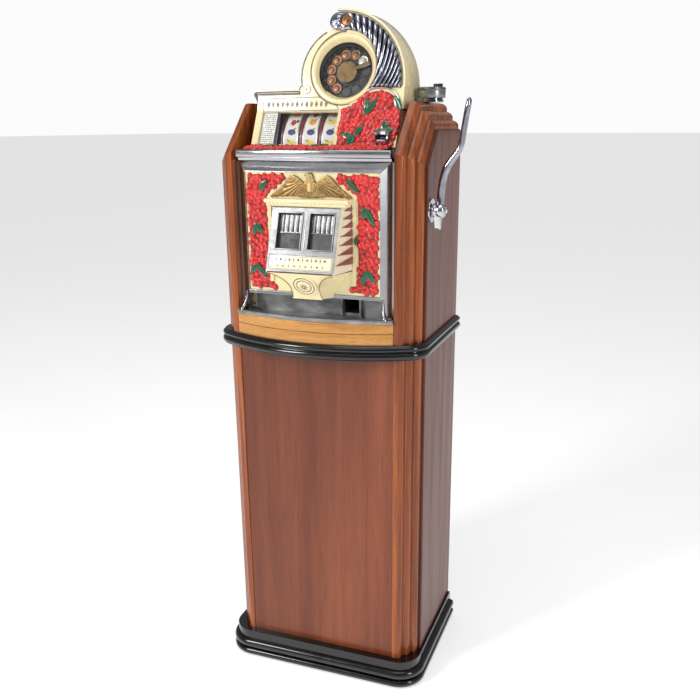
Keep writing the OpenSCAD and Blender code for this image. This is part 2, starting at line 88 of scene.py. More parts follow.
def make_world():
    w = bpy.data.worlds.new("studio")
    scene.world = w
    w.use_nodes = True
    nt = w.node_tree
    nt.nodes.clear()
    out = nt.nodes.new("ShaderNodeOutputWorld")
    mix = nt.nodes.new("ShaderNodeMixShader")
    lp = nt.nodes.new("ShaderNodeLightPath")
    a = nt.nodes.new("ShaderNodeBackground")
    b = nt.nodes.new("ShaderNodeBackground")
    tc = nt.nodes.new("ShaderNodeTexCoord")
    sep = nt.nodes.new("ShaderNodeSeparateXYZ")
    ramp = nt.nodes.new("ShaderNodeValToRGB")
    ramp2 = nt.nodes.new("ShaderNodeValToRGB")
    mul = nt.nodes.new("ShaderNodeMixRGB")
    mp = nt.nodes.new("ShaderNodeMapRange")
    mp2 = nt.nodes.new("ShaderNodeMapRange")
    nt.links.new(tc.outputs["Generated"], sep.inputs[0])
    for m, s in ((mp, "Z"), (mp2, "X")):
        m.inputs["From Min"].default_value = -1
        nt.links.new(sep.outputs[s], m.inputs["Value"])
    nt.links.new(mp.outputs[0], ramp.inputs[0])
    nt.links.new(mp2.outputs[0], ramp2.inputs[0])
    e = ramp.color_ramp.elements
    e[0].position, e[0].color = 0.0, (0.55, 0.55, 0.56, 1)
    e[1].position, e[1].color = 1.0, (1.0, 1.0, 1.0, 1)
    for p, v in ((0.44, 0.62), (0.5, 0.3), (0.56, 0.34), (0.66, 0.95), (0.8, 0.85)):
        k = ramp.color_ramp.elements.new(p)
        k.color = (v, v, v * 1.02, 1)
    e = ramp2.color_ramp.elements
    e[0].position, e[0].color = 0.0, (0.9, 0.9, 0.9, 1)
    e[1].position, e[1].color = 1.0, (0.8, 0.8, 0.8, 1)
    for p, v in ((0.2, 0.45), (0.32, 1.0), (0.55, 0.85), (0.66, 0.4), (0.8, 1.0)):
        k = ramp2.color_ramp.elements.new(p)
        k.color = (v, v, v, 1)
    mul.blend_type = 'MULTIPLY'
    mul.inputs[0].default_value = 1
    nt.links.new(ramp.outputs[0], mul.inputs[1])
    nt.links.new(ramp2.outputs[0], mul.inputs[2])
    nt.links.new(mul.outputs[0], a.inputs[0])
    a.inputs[1].default_value = 0.43
    b.inputs[0].default_value = (1, 1, 1, 1)
    b.inputs[1].default_value = 0.97
    nt.links.new(lp.outputs["Is Camera Ray"], mix.inputs[0])
    nt.links.new(a.outputs[0], mix.inputs[1])
    nt.links.new(b.outputs[0], mix.inputs[2])
    nt.links.new(mix.outputs[0], out.inputs[0])


make_world()
scene.view_settings.view_transform = 'Standard'


# ------------------------------------------------------------------ material kit
def new_mat(name, base=(.8, .8, .8), rough=.5, metal=0., coat=0., coat_r=.05, alpha=1., ior=1.5, spec=.5, trans=0., sheen=0.):
    m = bpy.data.materials.new(name)
    m.use_nodes = True
    nt = m.node_tree
    b = nt.nodes["Principled BSDF"]
    b.inputs["Base Color"].default_value = (*base, 1)
    b.inputs["Roughness"].default_value = rough
    b.inputs["Metallic"].default_value = metal
    b.inputs["Coat Weight"].default_value = coat
    b.inputs["Coat Roughness"].default_value = coat_r
    b.inputs["Alpha"].default_value = alpha
    b.inputs["IOR"].default_value = ior
    b.inputs["Specular IOR Level"].default_value = spec
    b.inputs["Transmission Weight"].default_value = trans
    return m, nt, b


def nd(nt, kind, props=None, **ins):
    n = nt.nodes.new(kind)
    for k, v in (props or {}).items():
        setattr(n, k, v)
    for k, v in ins.items():
        key = int(k[1:]) if k[0] == "i" and k[1:].isdigit() else k.replace("_", " ")
        s = n.inputs[key]
        if isinstance(v, bpy.types.NodeSocket):
            nt.links.new(v, s)
        else:
            s.default_value = v
    return n


def ramp(nt, fac, stops):
    r = nt.nodes.new("ShaderNodeValToRGB")
    nt.links.new(fac, r.inputs[0])
    el = r.color_ramp.elements
    el[0].position, el[1].position = stops[0][0], stops[-1][0]
    el[0].color = (*stops[0][1], 1)
    el[1].color = (*stops[-1][1], 1)
    for p, c in stops[1:-1]:
        k = el.new(p)
        k.color = (*c, 1)
    return r.outputs[0]


def obj_co(nt):
    return nd(nt, "ShaderNodeTexCoord").outputs["Object"]


def dots(nt, co, *dirs):
    c = nd(nt, "ShaderNodeCombineXYZ")
    for i, d in enumerate(dirs):
        v = nd(nt, "ShaderNodeVectorMath", {"operation": "DOT_PRODUCT"}, i0=co, i1=d)
        nt.links.new(v.outputs["Value"], c.inputs[i])
    return c.outputs[0]


def noise(nt, co, scale=1., detail=3., rough=.5, dist=0.):
    return nd(nt, "ShaderNodeTexNoise", None, Vector=co, Scale=scale, Detail=detail, Roughness=rough, Distortion=dist).outputs["Fac"]


def mapr(nt, v, a, b, c, d):
    return nd(nt, "ShaderNodeMapRange", None, Value=v, From_Min=a, From_Max=b, To_Min=c, To_Max=d).outputs[0]


def mixc(nt, fac, a, b, mode='MIX'):
    n = nt.nodes.new("ShaderNodeMixRGB")
    n.blend_type = mode
    for k, v in ((0, fac), (1, a), (2, b)):
        if isinstance(v, bpy.types.NodeSocket):
            nt.links.new(v, n.inputs[k])
        else:
            n.inputs[k].default_value = v if k == 0 else (*v, 1)
    return n.outputs[0]


def bump(nt, b, h, strength, dist=0.001, coat=False):
    n = nd(nt, "ShaderNodeBump", None, Height=h, Strength=strength, Distance=dist)
    nt.links.new(n.outputs[0], b.inputs["Normal"])
    if coat:
        nt.links.new(n.outputs[0], b.inputs["Coat Normal"])


def wood(name, cols, across, fine, along, sdir, tdir, ldir, rough=(.22, .38), coat=.5, pore=.55, tone=.5):
    m, nt, b = new_mat(name, rough=.3, coat=coat, coat_r=.09, spec=.28)
    co = obj_co(nt)
    f = lambda k, d: tuple(k * x for x in d)
    p1 = noise(nt, dots(nt, co, f(across, sdir), f(across * .12, tdir), f(along, ldir)), 1, 4, .55, .6)
    p3 = noise(nt, dots(nt, co, f(across * .16, sdir), f(across * .1, tdir), f(along * .45, ldir)), 1, 2, .5, .3)
    p2 = noise(nt, dots(nt, co, f(fine, sdir), f(fine * .3, tdir), f(along * 7, ldir)), 1, 2, .5)
    fac = nd(nt, "ShaderNodeMath", {"operation": "MULTIPLY_ADD"}, i0=p3, i1=tone,
             i2=nd(nt, "ShaderNodeMath", {"operation": "MULTIPLY"}, i0=p1, i1=1 - tone).outputs[0]).outputs[0]
    col = ramp(nt, fac, [(.32, cols[0]), (.5, cols[1]), (.68, cols[2])])
    pores = mapr(nt, p2, .34, .5, 1 - pore, 1)
    col = mixc(nt, 1., col, nd(nt, "ShaderNodeCombineColor", None, Red=pores, Green=pores, Blue=pores).outputs[0], 'MULTIPLY')
    nt.links.new(col, b.inputs["Base Color"])
    nt.links.new(mapr(nt, p1, .3, .7, rough[1], rough[0]), b.inputs["Roughness"])
    bump(nt, b, p2, .12, .0004)
    return m


X, Y, Z = (1, 0, 0), (0, 1, 0), (0, 0, 1)
M = {}
M["front"] = wood("mahogany_front", [(.12, .024, .008), (.215, .05, .017), (.32, .086, .031)], 34, 900, 1.7, X, Y, Z, (.26, .38), .3, .3, .6)
M["reed"] = wood("mahogany_reed", [(.1, .019, .004), (.32, .072, .012), (.58, .165, .03)], 130, 1100, 2.2, (1, .3, 0), (-.3, 1, 0), Z, (.2, .32), .4, .38, .42)
M["reed2"] = wood("mahogany_reed_b", [(.12, .023, .005), (.37, .088, .015), (.62, .185, .036)], 150, 1200, 2.6, (1, .3, 0), (-.3, 1, 0), (0, .02, 1), (.2, .32), .5, .38, .42)
# darker copy of the front mahogany: painted shade for the faces turned away from the key light
M["side"] = wood("mahogany_side_painted_shade", [(.06, .011, .004), (.12, .024, .008), (.185, .043, .015)], 26, 800, 1.6, Y, X, Z, (.32, .44), .12, .26, .55)
M["back"] = wood("mahogany_back", [(.09, .022, .011), (.16, .042, .02), (.23, .068, .034)], 30, 800, 1.8, X, Y, Z, (.34, .5), .25, .4, .55)
M["maple"] = wood("maple_board", [(.5, .2, .045), (.68, .33, .085), (.78, .44, .135)], 70, 900, 3.2, Z, Y, X, (.28, .42), .45, .3, .6)


def simple(name, c1, c2, scale, rough, metal=0, coat=0, coat_r=.05, br=.1, stretch=(1, 1, 1), bs=.0002, spec=.5, fine=4.):
    """colour varies between c1 and c2 over a stretched noise; roughness is a range"""
    m, nt, b = new_mat(name, c1, rough[0], metal, coat, coat_r, spec=spec)
    co = obj_co(nt)
    st = nd(nt, "ShaderNodeVectorMath", {"operation": "MULTIPLY"}, i0=co, i1=stretch).outputs[0]
    n1 = noise(nt, st, scale, 4, .55)
    n2 = noise(nt, st, scale * fine, 3, .5)
    nt.links.new(ramp(nt, n1, [(.35, c1), (.65, c2)]), b.inputs["Base Color"])
    nt.links.new(mapr(nt, n2, .3, .7, rough[0], rough[1]), b.inputs["Roughness"])
    if br:
        bump(nt, b, n2, br, bs)
    return m


M["black"] = simple("gloss_black", (.0025, .0025, .003), (.006, .006, .0065), 30, (.14, .24), coat=.45, coat_r=.03, br=.03, bs=.0006, fine=1., spec=.4)
M["alu"] = simple("polished_aluminium", (.43, .43, .45), (.52, .52, .535), 9, (.17, .25), 1, br=.02, stretch=(1, 1, 1.6), bs=.0002, fine=5.)
M["alu_lines"] = simple("brushed_aluminium", (.3, .3, .315), (.4, .4, .41), 8, (.24, .36), 1, br=.05, stretch=(1, 1, 14), bs=.0002, fine=9.)
M["tray"] = simple("worn_aluminium", (.2, .2, .205), (.42, .42, .42), 26, (.34, .5), .8, br=.08, stretch=(1, 1, 2), bs=.0003, fine=4.)
M["pewter"] = simple("dull_aluminium", (.15, .15, .16), (.22, .22, .23), 14, (.3, .44), .9, br=.05, stretch=(1, 1, 3), bs=.0002, fine=6.)
M["old_brass"] = simple("old_brass", (.1, .055, .016), (.2, .125, .04), 110, (.32, .46), .7, br=.1)
M["chrome"] = simple("chrome", (.5, .505, .54), (.66, .665, .7), 12, (.035, .08), 1, br=.015, bs=.0005)
# darker copy of the chrome: its base colour carries painted dark reflections
M["chrome_dark"] = simple("chrome_painted_dark_reflection", (.3, .3, .35), (.46, .46, .52), 40, (.05, .12), 1, br=.02, bs=.0005)
M["steel"] = simple("steel", (.4, .4, .42), (.56, .56, .57), 30, (.28, .45), 1, br=.08)
M["steel_dark"] = simple("blackened_steel", (.03, .03, .033), (.07, .068, .068), 40, (.35, .55), .6, br=.15)
M["brass"] = simple("brass", (.42, .27, .09), (.62, .42, .17), 50, (.22, .4), 1, br=.1)
M["bronze_coin"] = simple("bronze_coin", (.17, .075, .038), (.33, .16, .08), 160, (.28, .45), .75, br=.12, bs=.0003)
M["silver_coin"] = simple("silver_coin", (.42, .4, .38), (.66, .64, .62), 180, (.22, .38), 1, br=.12, bs=.0003)
M["cream"] = simple("cream_enamel", (.9, .76, .42), (.935, .81, .485), 6, (.22, .34), coat=.7, coat_r=.06, br=.06, bs=.0006, fine=6.)
M["cream_pale"] = simple("cream_enamel_pale", (.9, .82, .58), (.95, .88, .66), 20, (.25, .36), coat=.6, coat_r=.06, br=.06, bs=.0004)
# dark grey for printed lines and worn rims, and as painted shadow in the scroll groove
M["line"] = simple("grey_line_wear_and_shade", (.13, .125, .115), (.26, .25, .23), 120, (.4, .6), .4, br=.1)
M["maroon"] = simple("maroon_enamel", (.22, .006, .008), (.34, .012, .014), 80, (.25, .36), coat=.5, br=.06)
M["russet"] = simple("russet_enamel", (.2, .06, .045), (.33, .11, .08), 140, (.35, .5), coat=.3, br=.1)
M["paper"] = simple("reel_strip", (.8, .78, .72), (.9, .88, .82), 60, (.45, .6), br=.08)
M["card"] = simple("award_card", (.78, .8, .76), (.9, .92, .88), 90, (.4, .55), br=.05)
M["fingers"] = simple("bright_comb", (.22, .22, .22), (.42, .42, .41), 90, (.28, .42), .85, br=.08, stretch=(3, 3, .6))
# near black for slot recesses, openings and deep gaps: painted shade standing in for their dark insides
M["felt"] = simple("inner_black", (.01, .01, .011), (.02, .02, .02), 60, (.7, .9), br=.1)
PRINT = {k: simple("print_" + k, c, tuple(min(1, 1.35 * x + .01) for x in c), 260, (.4, .55), br=.04) for k, c in {
    "navy": (.015, .02, .16), "orange": (.75, .3, .02), "lemon": (.75, .56, .06), "green": (.16, .25, .03), "crimson": (.42, .02, .02),
    "ink": (.015, .014, .016), "olive": (.16, .19, .09), "moss": (.06, .15, .08)}.items()}


def attr_mat(name, low, high, rough, metal=0., coat=0., coat_r=.04, scale=90, spec=.5, br=.1, speck=None):
    """colour from the relief's own height attribute, darker in the hollows: painted shade in the crevices, and on the
    horn painted reflection
    """
    m, nt, b = new_mat(name, high, rough[0], metal, coat, coat_r, spec=spec)
    at = nd(nt, "ShaderNodeAttribute", {"attribute_name": "painted_shading"}).outputs["Fac"]
    co = obj_co(nt)
    n1 = noise(nt, co, scale, 3, .55)
    n2 = noise(nt, co, scale * 6, 3, .5)
    f = nd(nt, "ShaderNodeMath", {"operation": "MULTIPLY_ADD", "use_clamp": True}, i0=mapr(nt, n1, .3, .7, -.16, .16), i1=1., i2=at).outputs[0]
    stops = [(0, low), (.45, tuple(.55 * a + .45 * c for a, c in zip(low, high))), (1, high)]
    col = ramp(nt, f, stops)
    if speck:
        col = mixc(nt, mapr(nt, n2, .62, .72, 0, .5), col, speck)
    nt.links.new(col, b.inputs["Base Color"])
    nt.links.new(mapr(nt, n2, .3, .7, rough[0], rough[1]), b.inputs["Roughness"])
    bump(nt, b, n2, br, .0002)
    return m


# cherry colour runs from a dark red painted shade in the hollows between the fruit to the lit red on their crowns
M["cherry"] = attr_mat("cherry_enamel", (.13, .001, .002), (.74, .009, .007), (.34, .46), coat=1., coat_r=.035, scale=60, spec=.12, br=.015)
# leaf colour runs from painted shade in the midrib and vein hollows to the lit green
M["leaf"] = attr_mat("leaf_enamel", (.002, .034, .017), (.01, .16, .07), (.3, .4), spec=.15, coat=1, coat_r=.04, scale=120, br=.02)
for k in ("cherry", "leaf"):
    M[k].node_tree.nodes["Principled BSDF"].inputs["Coat IOR"].default_value = 1.66
# gold colour runs from painted shade in the hollows to the lit gold on the raised feathers
M["eagle"] = attr_mat("gold_bronze", (.17, .085, .03), (.66, .46, .21), (.26, .42), metal=.75, scale=120)
# cream colour runs from painted shade in the hollows to the lit cream
M["crest_cream"] = attr_mat("cream_casting", (.34, .27, .14), (.89, .75, .41), (.22, .34), coat=.7, coat_r=.06, scale=14, br=.05)
# the horn's colour itself carries painted reflection and shade: near black in the flute creases, bright on the crests
M["horn"] = attr_mat("fluted_chrome_painted_reflection", (.012, .012, .035), (.62, .63, .72), (.05, .12), metal=1., scale=60, br=.02)


def glass(name, tint, alpha, rough):
    m, nt, b = new_mat(name, tint, rough, 0, 1, .02, alpha=alpha, ior=1.5, spec=.8)
    n1 = noise(nt, obj_co(nt), 35, 3, .5)
    nt.links.new(mapr(nt, n1, .3, .7, rough, rough * 1.8), b.inputs["Roughness"])
    nt.links.new(mapr(nt, n1, .3, .7, alpha * .8, alpha * 1.2), b.inputs["Alpha"])
    bump(nt, b, n1, .02, .0005)
    return m


M["glass"] = glass("clear_glass", (.3, .34, .34), .045, .03)
# the frosted pane's pale base colour is raised further to offset the shade in the window recess: its own frost plus
# painted light
M["frost"] = glass("frosted_pane", (.74, .76, .75), .88, .22)


# ------------------------------------------------------------------ mesh kit
def mesh_obj(name, verts, faces, mats, body="cabinet", slot=None, painted_shading=None, fmat=None, angle=38, weld=True, replaces=()):
    """verts in mm in the row frame"""
    me = bpy.data.meshes.new(name)
    me.from_pydata([tuple(v) for v in np.asarray(verts, float) * .001], [], [tuple(int(i) for i in f) for f in faces])
    # per-vertex painted shade (painted reflection on the horn), read by the relief materials
    if painted_shading is not None:
        at = me.attributes.new("painted_shading", 'FLOAT', 'POINT')
        at.data.foreach_set("value", np.clip(np.asarray(painted_shading, float), 0, 1).astype(np.float32))
    mats = mats if isinstance(mats, (list, tuple)) else [mats]
    for m in mats:
        me.materials.append(m)
    if fmat is not None:
        me.polygons.foreach_set("material_index", np.asarray(fmat, np.int32))
    bm = bmesh.new()
    bm.from_mesh(me)
    if weld:
        bmesh.ops.remove_doubles(bm, verts=bm.verts, dist=2e-6)
        bmesh.ops.dissolve_degenerate(bm, edges=bm.edges, dist=1e-6)
    bmesh.ops.recalc_face_normals(bm, faces=bm.faces)
    lim = math.radians(angle)
    for e in bm.edges:
        e.smooth = not (len(e.link_faces) == 2 and e.calc_face_angle(0) > lim)
    for f in bm.faces:
        f.smooth = True
    bm.to_mesh(me)
    bm.free()
    o = bpy.data.objects.new(name, me)
    scene.collection.objects.link(o)
    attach(o, body)
    if replaces:
        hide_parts(*replaces)
    return o


class Frame:
    """local (x, up the face, height out of the face) to the row frame, mm"""
    def __init__(self, o, lean):
        self.o = np.array(o, float)
        self.u = np.array([0, math.sin(lean), math.cos(lean)])
        self.n = np.array([0, -math.cos(lean), math.sin(lean)])

    def __call__(self, x, z, h):
        x, z, h = np.broadcast_arrays(np.asarray(x, float), np.asarray(z, float), np.asarray(h, float))
        return self.o + x[..., None] * np.array([1., 0, 0]) + z[..., None] * self.u + h[..., None] * self.n


L1, L2, LJ = math.atan(.5), math.atan(.3), math.atan(.34375)
F_reel = Frame((0, -108, 1205), L1)
F_crest = Frame((0, -70.5, 1280), L2)
F_jack = Frame((0, -181, 1094), LJ)
F_front = Frame((0, -155, 0), 0)


def F_cr(x, z, h):
    """crest front: z is the true height, h stands out along -Y"""
    x, z, h = np.broadcast_arrays(np.asarray(x, float), np.asarray(z, float), np.asarray(h, float))
    return np.stack([x, -70.5 + .3 * (z - 1280) - h, z], -1)


def F_up(x, z, h):
    """the two leaning faces as one sheet, creased at z 1280"""
    x, z, h = np.broadcast_arrays(np.asarray(x, float), np.asarray(z, float), np.asarray(h, float))
    y = np.where(z < 1280, -108 + .5 * (z - 1205), -70.5 + .3 * (z - 1280))
    return np.stack([x, y - h * .93, z + h * .36], -1)


def F_sill(x, v, h):
    """narrow sloping sill between the ledge bar and the reel face; v is depth"""
    x, v, h = np.broadcast_arrays(np.asarray(x, float), np.asarray(v, float), np.asarray(h, float))
    return np.stack([x, v - .25 * h, 1203.6 + (v + 153) * .16 + h], -1)


def poly_sd(P, loops):
    best = np.full(len(P), 1e18)
    near = np.zeros_like(P)
    inside = np.zeros(len(P), bool)
    for Lp in loops:
        Lp = np.asarray(Lp, float)
        for a, b in zip(Lp, np.roll(Lp, -1, 0)):
            d = b - a
            t = np.clip(((P - a) @ d) / (d @ d + 1e-12), 0, 1)
            q = a + t[:, None] * d
            ds = ((P - q) ** 2).sum(1)
            m = ds < best
            best[m] = ds[m]
            near[m] = q[m]
            if a[1] != b[1]:
                c = ((a[1] > P[:, 1]) != (b[1] > P[:, 1])) & (P[:, 0] < d[0] * (P[:, 1] - a[1]) / d[1] + a[0])
                inside ^= c
    return np.where(inside, 1, -1) * np.sqrt(best), near


def relief(name, loops, hfun, res, F, back, mat, painted_shading_fun=None, closed=True, **kw):
    """height field over an outline, closed with side walls and a flat back"""
    allp = np.concatenate([np.asarray(l, float) for l in loops])
    lo, hi = allp.min(0) - res, allp.max(0) + res
    xs = np.arange(lo[0], hi[0] + res, res)
    zs = np.arange(lo[1], hi[1] + res, res)
    nx, nz = len(xs), len(zs)
    P = np.stack(np.meshgrid(xs, zs, indexing='ij'), -1).reshape(-1, 2)
    sd, near = poly_sd(P, loops)
    keep = sd > -.8 * res
    core = sd >= .35 * res
    idx = np.arange(nx * nz).reshape(nx, nz)
    q = np.stack([idx[:-1, :-1], idx[1:, :-1], idx[1:, 1:], idx[:-1, 1:]], -1).reshape(-1, 4)
    q = q[keep[q].all(1) & core[q].any(1)]
    P = np.where(core[:, None], P, near)
    sd = np.where(core, sd, 0)
    used = np.unique(q)
    remap = -np.ones(nx * nz, int)
    remap[used] = np.arange(len(used))
    q = remap[q]
    P, sd = P[used], sd[used]
    h = hfun(P[:, 0], P[:, 1], sd)
    # per-vertex painted shade for the relief material
    painted_shading = painted_shading_fun(P[:, 0], P[:, 1], sd, h) if painted_shading_fun else None
    V = F(P[:, 0], P[:, 1], h)
    n = len(V)
    e = np.concatenate([q[:, [0, 1]], q[:, [1, 2]], q[:, [2, 3]], q[:, [3, 0]]])
    key = np.sort(e, 1)
    u, inv, cnt = np.unique(key, axis=0, return_inverse=True, return_counts=True)
    be = e[cnt[inv.ravel()] == 1]
    VB = F(P[:, 0], P[:, 1], back)
    faces = [tuple(f) for f in q]
    if closed:
        verts = np.concatenate([V, VB])
        faces += [(b, a, a + n, b + n) for a, b in be]
        faces += [tuple(f[::-1] + n) for f in q]
        cv = None if painted_shading is None else np.concatenate([painted_shading, np.zeros(n)])
    else:
        bi = np.unique(be)
        mp = -np.ones(n, int)
        mp[bi] = n + np.arange(len(bi))
        verts = np.concatenate([V, VB[bi]])
        faces += [(b, a, mp[a], mp[b]) for a, b in be]
        cv = None if painted_shading is None else np.concatenate([painted_shading, np.zeros(len(bi))])
    return mesh_obj(name, verts, faces, mat, painted_shading=cv, **kw)


def lathe(name, prof, F, cx, cz, mat, n=64, **kw):
    """profile of (radius, height) turned about the face normal at (cx, cz); closed on itself"""
    prof = [(max(r, 0.), h) for r, h in prof]
    t = np.arange(n) * 2 * pi / n
    V, faces = [], []
    for r, h in prof:
        V.append(F(cx + r * np.cos(t), cz + r * np.sin(t), np.full(n, h)))
    m = len(prof)
    V = np.concatenate(V)
    for i in range(m - 1):
        for j in range(n):
            k = (j + 1) % n
            faces.append((i * n + j, i * n + k, (i + 1) * n + k, (i + 1) * n + j))
    if prof[0] != prof[-1]:
        if prof[0][0] > 1e-6:
            faces.append(tuple(range(n))[::-1])
        if prof[-1][0] > 1e-6:
            faces.append(tuple((m - 1) * n + j for j in range(n)))
    return mesh_obj(name, V, faces, mat, **kw)


def tube(name, pts, rad, mat, n=12, ell=None, cap=True, **kw):
    """round section swept along points; rad one number or one each; ell=(a,b) flattens the section"""
    pts = np.asarray(pts, float)
    m = len(pts)
    rad = np.full(m, float(rad)) if np.isscalar(rad) else np.asarray(rad, float)
    T = np.gradient(pts, axis=0)
    T /= np.linalg.norm(T, axis=1)[:, None]
    up = np.array([0., 1, 0]) if abs(T[0][1]) < .9 else np.array([1., 0, 0])
    V = []
    a = up - T[0] * (up @ T[0])
    a /= np.linalg.norm(a)
    for i in range(m):
        a = a - T[i] * (a @ T[i])
        a /= np.linalg.norm(a)
        b = np.cross(T[i], a)
        th = np.arange(n) * 2 * pi / n
        ea, eb = (ell[i] if ell is not None and np.ndim(ell) == 2 else (ell if ell is not None else (1, 1)))
        V.append(pts[i] + rad[i] * (ea * np.cos(th)[:, None] * a + eb * np.sin(th)[:, None] * b))
    V = np.concatenate(V)
    faces = []
    for i in range(m - 1):
        for j in range(n):
            k = (j + 1) % n
            faces.append((i * n + j, i * n + k, (i + 1) * n + k, (i + 1) * n + j))
    if cap:
        faces.append(tuple(range(n))[::-1])
        faces.append(tuple((m - 1) * n + j for j in range(n)))
    return mesh_obj(name, V, faces, mat, **kw)


def plate(name, F, outline, h0, h1, mat, bev=.5, **kw):
    """flat plate on a face, outline (x, z), with a chamfered and rounded front edge"""
    P = np.asarray(outline, float)
    area2 = np.sum(P[:, 0] * np.roll(P[:, 1], -1) - np.roll(P[:, 0], -1) * P[:, 1])
    if area2 < 0:
        P = P[::-1]
    d1 = P - np.roll(P, 1, 0)
    d2 = np.roll(P, -1, 0) - P
    n1 = np.stack([-d1[:, 1], d1[:, 0]], 1) / (np.linalg.norm(d1, axis=1)[:, None] + 1e-9)
    n2 = np.stack([-d2[:, 1], d2[:, 0]], 1) / (np.linalg.norm(d2, axis=1)[:, None] + 1e-9)
    bis = n1 + n2
    bis /= (np.sum(bis * n1, 1)[:, None] + 1e-9)
    rows, hs = [], []
    for k in range(5):
        t = k / 4 * pi / 2
        rows.append(P + bis * bev * (1 - math.cos(t)))
        hs.append(h1 - bev + bev * math.sin(t))
    V = [F(P[:, 0], P[:, 1], np.full(len(P), h0))]
    for r, h in zip(rows, hs):
        V.append(F(r[:, 0], r[:, 1], np.full(len(P), h)))
    n, m = len(P), len(V)
    faces = [tuple(range(n))[::-1]]
    for i in range(m - 1):
        for j in range(n):
            k = (j + 1) % n
            faces.append((i * n + j, i * n + k, (i + 1) * n + k, (i + 1) * n + j))
    faces.append(tuple((m - 1) * n + j for j in range(n)))
    return mesh_obj(name, np.concatenate(V), faces, mat, angle=50, **kw)


def rect(x0, x1, z0, z1):
    return [(x0, z0), (x1, z0), (x1, z1), (x0, z1)]


def rrect(x0, x1, z0, z1, r, n=5):
    out = []
    for cx, cz, a in ((x1 - r, z0 + r, -90), (x1 - r, z1 - r, 0), (x0 + r, z1 - r, 90), (x0 + r, z0 + r, 180)):
        for i in range(n + 1):
            t = math.radians(a + 90 * i / n)
            out.append((cx + r * math.cos(t), cz + r * math.sin(t)))
    return out


def arc(cx, cz, r, a0, a1, n):
    t = np.radians(np.linspace(a0, a1, n))
    return np.stack([cx + r * np.cos(t), cz + r * np.sin(t)], 1)


def join(name, objs, **kw):
    """merge mesh objects that share a body into one piece"""
    bm = bmesh.new()
    mats = []
    for o in objs:
        me = o.data
        off = []
        for mt in me.materials:
            if mt not in mats:
                mats.append(mt)
            off.append(mats.index(mt))
        for p in me.polygons:
            p.material_index = off[p.material_index] if off else 0
        bm.from_mesh(me)
    me = bpy.data.meshes.new(name)
    bm.to_mesh(me)
    bm.free()
    for mt in mats:
        me.materials.append(mt)
    o = bpy.data.objects.new(name, me)
    scene.collection.objects.link(o)
    for k in objs:
        mm = k.data
        bpy.data.objects.remove(k)
        bpy.data.meshes.remove(mm)
    o.parent = None
    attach(o, kw.get("body", "cabinet"))
    return o


# ------------------------------------------------------------------ CAD nodes: finishes
def finish_node(name, mat, bevel=0., seg=3, ang=40):
    o = NODES[name]
    o.data.materials.clear()
    o.data.materials.append(M[mat])
    if bevel:
        w = o.modifiers.new("weld", 'WELD')
        w.merge_threshold = 1e-5
        b = o.modifiers.new("edge", 'BEVEL')
        b.width = bevel * .001
        b.segments = seg
        b.limit_method = 'ANGLE'
        b.angle_limit = math.radians(ang)
        b.harden_normals = False
        b.use_clamp_overlap = True
    return o


for nm, mt, bv in [
    ("plinth", "black", 0), ("stand_front_panel", "front", 0), ("stand_corner_left", "reed", 0), ("stand_corner_right", "reed", 0),
    ("stand_side_left", "side", 0), ("stand_side_right", "side", 0), ("stand_back_frame", "back", .8), ("stand_door", "back", 1.2),
    ("stand_door_leaf", "steel", 0), ("hinge_pins", "steel", 0), ("stand_lock", "brass", 0), ("case_lock", "brass", 0),
    ("case_floor", "back", .6), ("front_board_lower", "maple", 1.0), ("front_board_upper", "maple", 1.0),
    ("side_inner_left", "reed", 0), ("side_middle_left", "reed2", 0), ("side_outer_left", "reed", 0), ("side_panel_left", "side", 0),
    ("side_inner_right", "reed", 0), ("side_middle_right", "reed2", 0), ("side_outer_right", "reed", 0), ("side_panel_right", "side", 0),
    ("case_top", "side", .6), ("case_back_frame", "back", .8), ("case_door", "back", 1.2), ("case_door_leaf", "steel", 0),
    ("payout_tray", "tray", .5), ("front_frame", "alu", .9), ("cream_panel", "cream", .7), ("jackpot_bezel", "pewter", .5),
    ("jackpot_combs", "steel_dark", 0), ("ledge_bar", "alu", 1.3), ("upper_casting", "cream", .8), ("coin_return_cup", "chrome", 0),
    ("window_panes", "glass", 0), ("reel_1", "paper", 0), ("reel_2", "paper", 0), ("reel_3", "paper", 0), ("reel_shaft", "steel", 0),
    ("mech_frame", "steel_dark", 0), ("payout_slides", "brass", 0), ("cash_box", "steel", .4), ("crest_housing", "cream", 1.6),
    ("crest_back_plate", "steel_dark", .6), ("dial_glass", "glass", 0), ("dial_hub", "old_brass", .4), ("escalator_wheel", "steel_dark", .3),
    ("coin_head", "alu_lines", 1.0), ("coin_return_lever", "steel_dark", .5), ("handle_bushing", "chrome", .4),
]:
    finish_node(nm, mt, bv)


# ------------------------------------------------------------------ belt moulding
def bow_loop(rb, yc, hw, r, y1, o, k=36, c=14):
    cc = yc - math.sqrt((rb - r) ** 2 - (hw - r) ** 2)
    ph = math.asin((hw - r) / (rb - r))
    pts = [((rb + o) * math.sin(t), yc - (rb + o) * math.cos(t)) for t in np.linspace(0, ph, k)]
    pts += [(hw - r + (r + o) * math.sin(t), cc - (r + o) * math.cos(t)) for t in np.linspace(ph, pi / 2, c + 1)[1:]]
    pts += [(hw + o, cc + (y1 - cc) * s) for s in (.33, .66, 1)]
    left = [(-x, y) for x, y in pts[1:]][::-1]
    return np.array(left + pts)


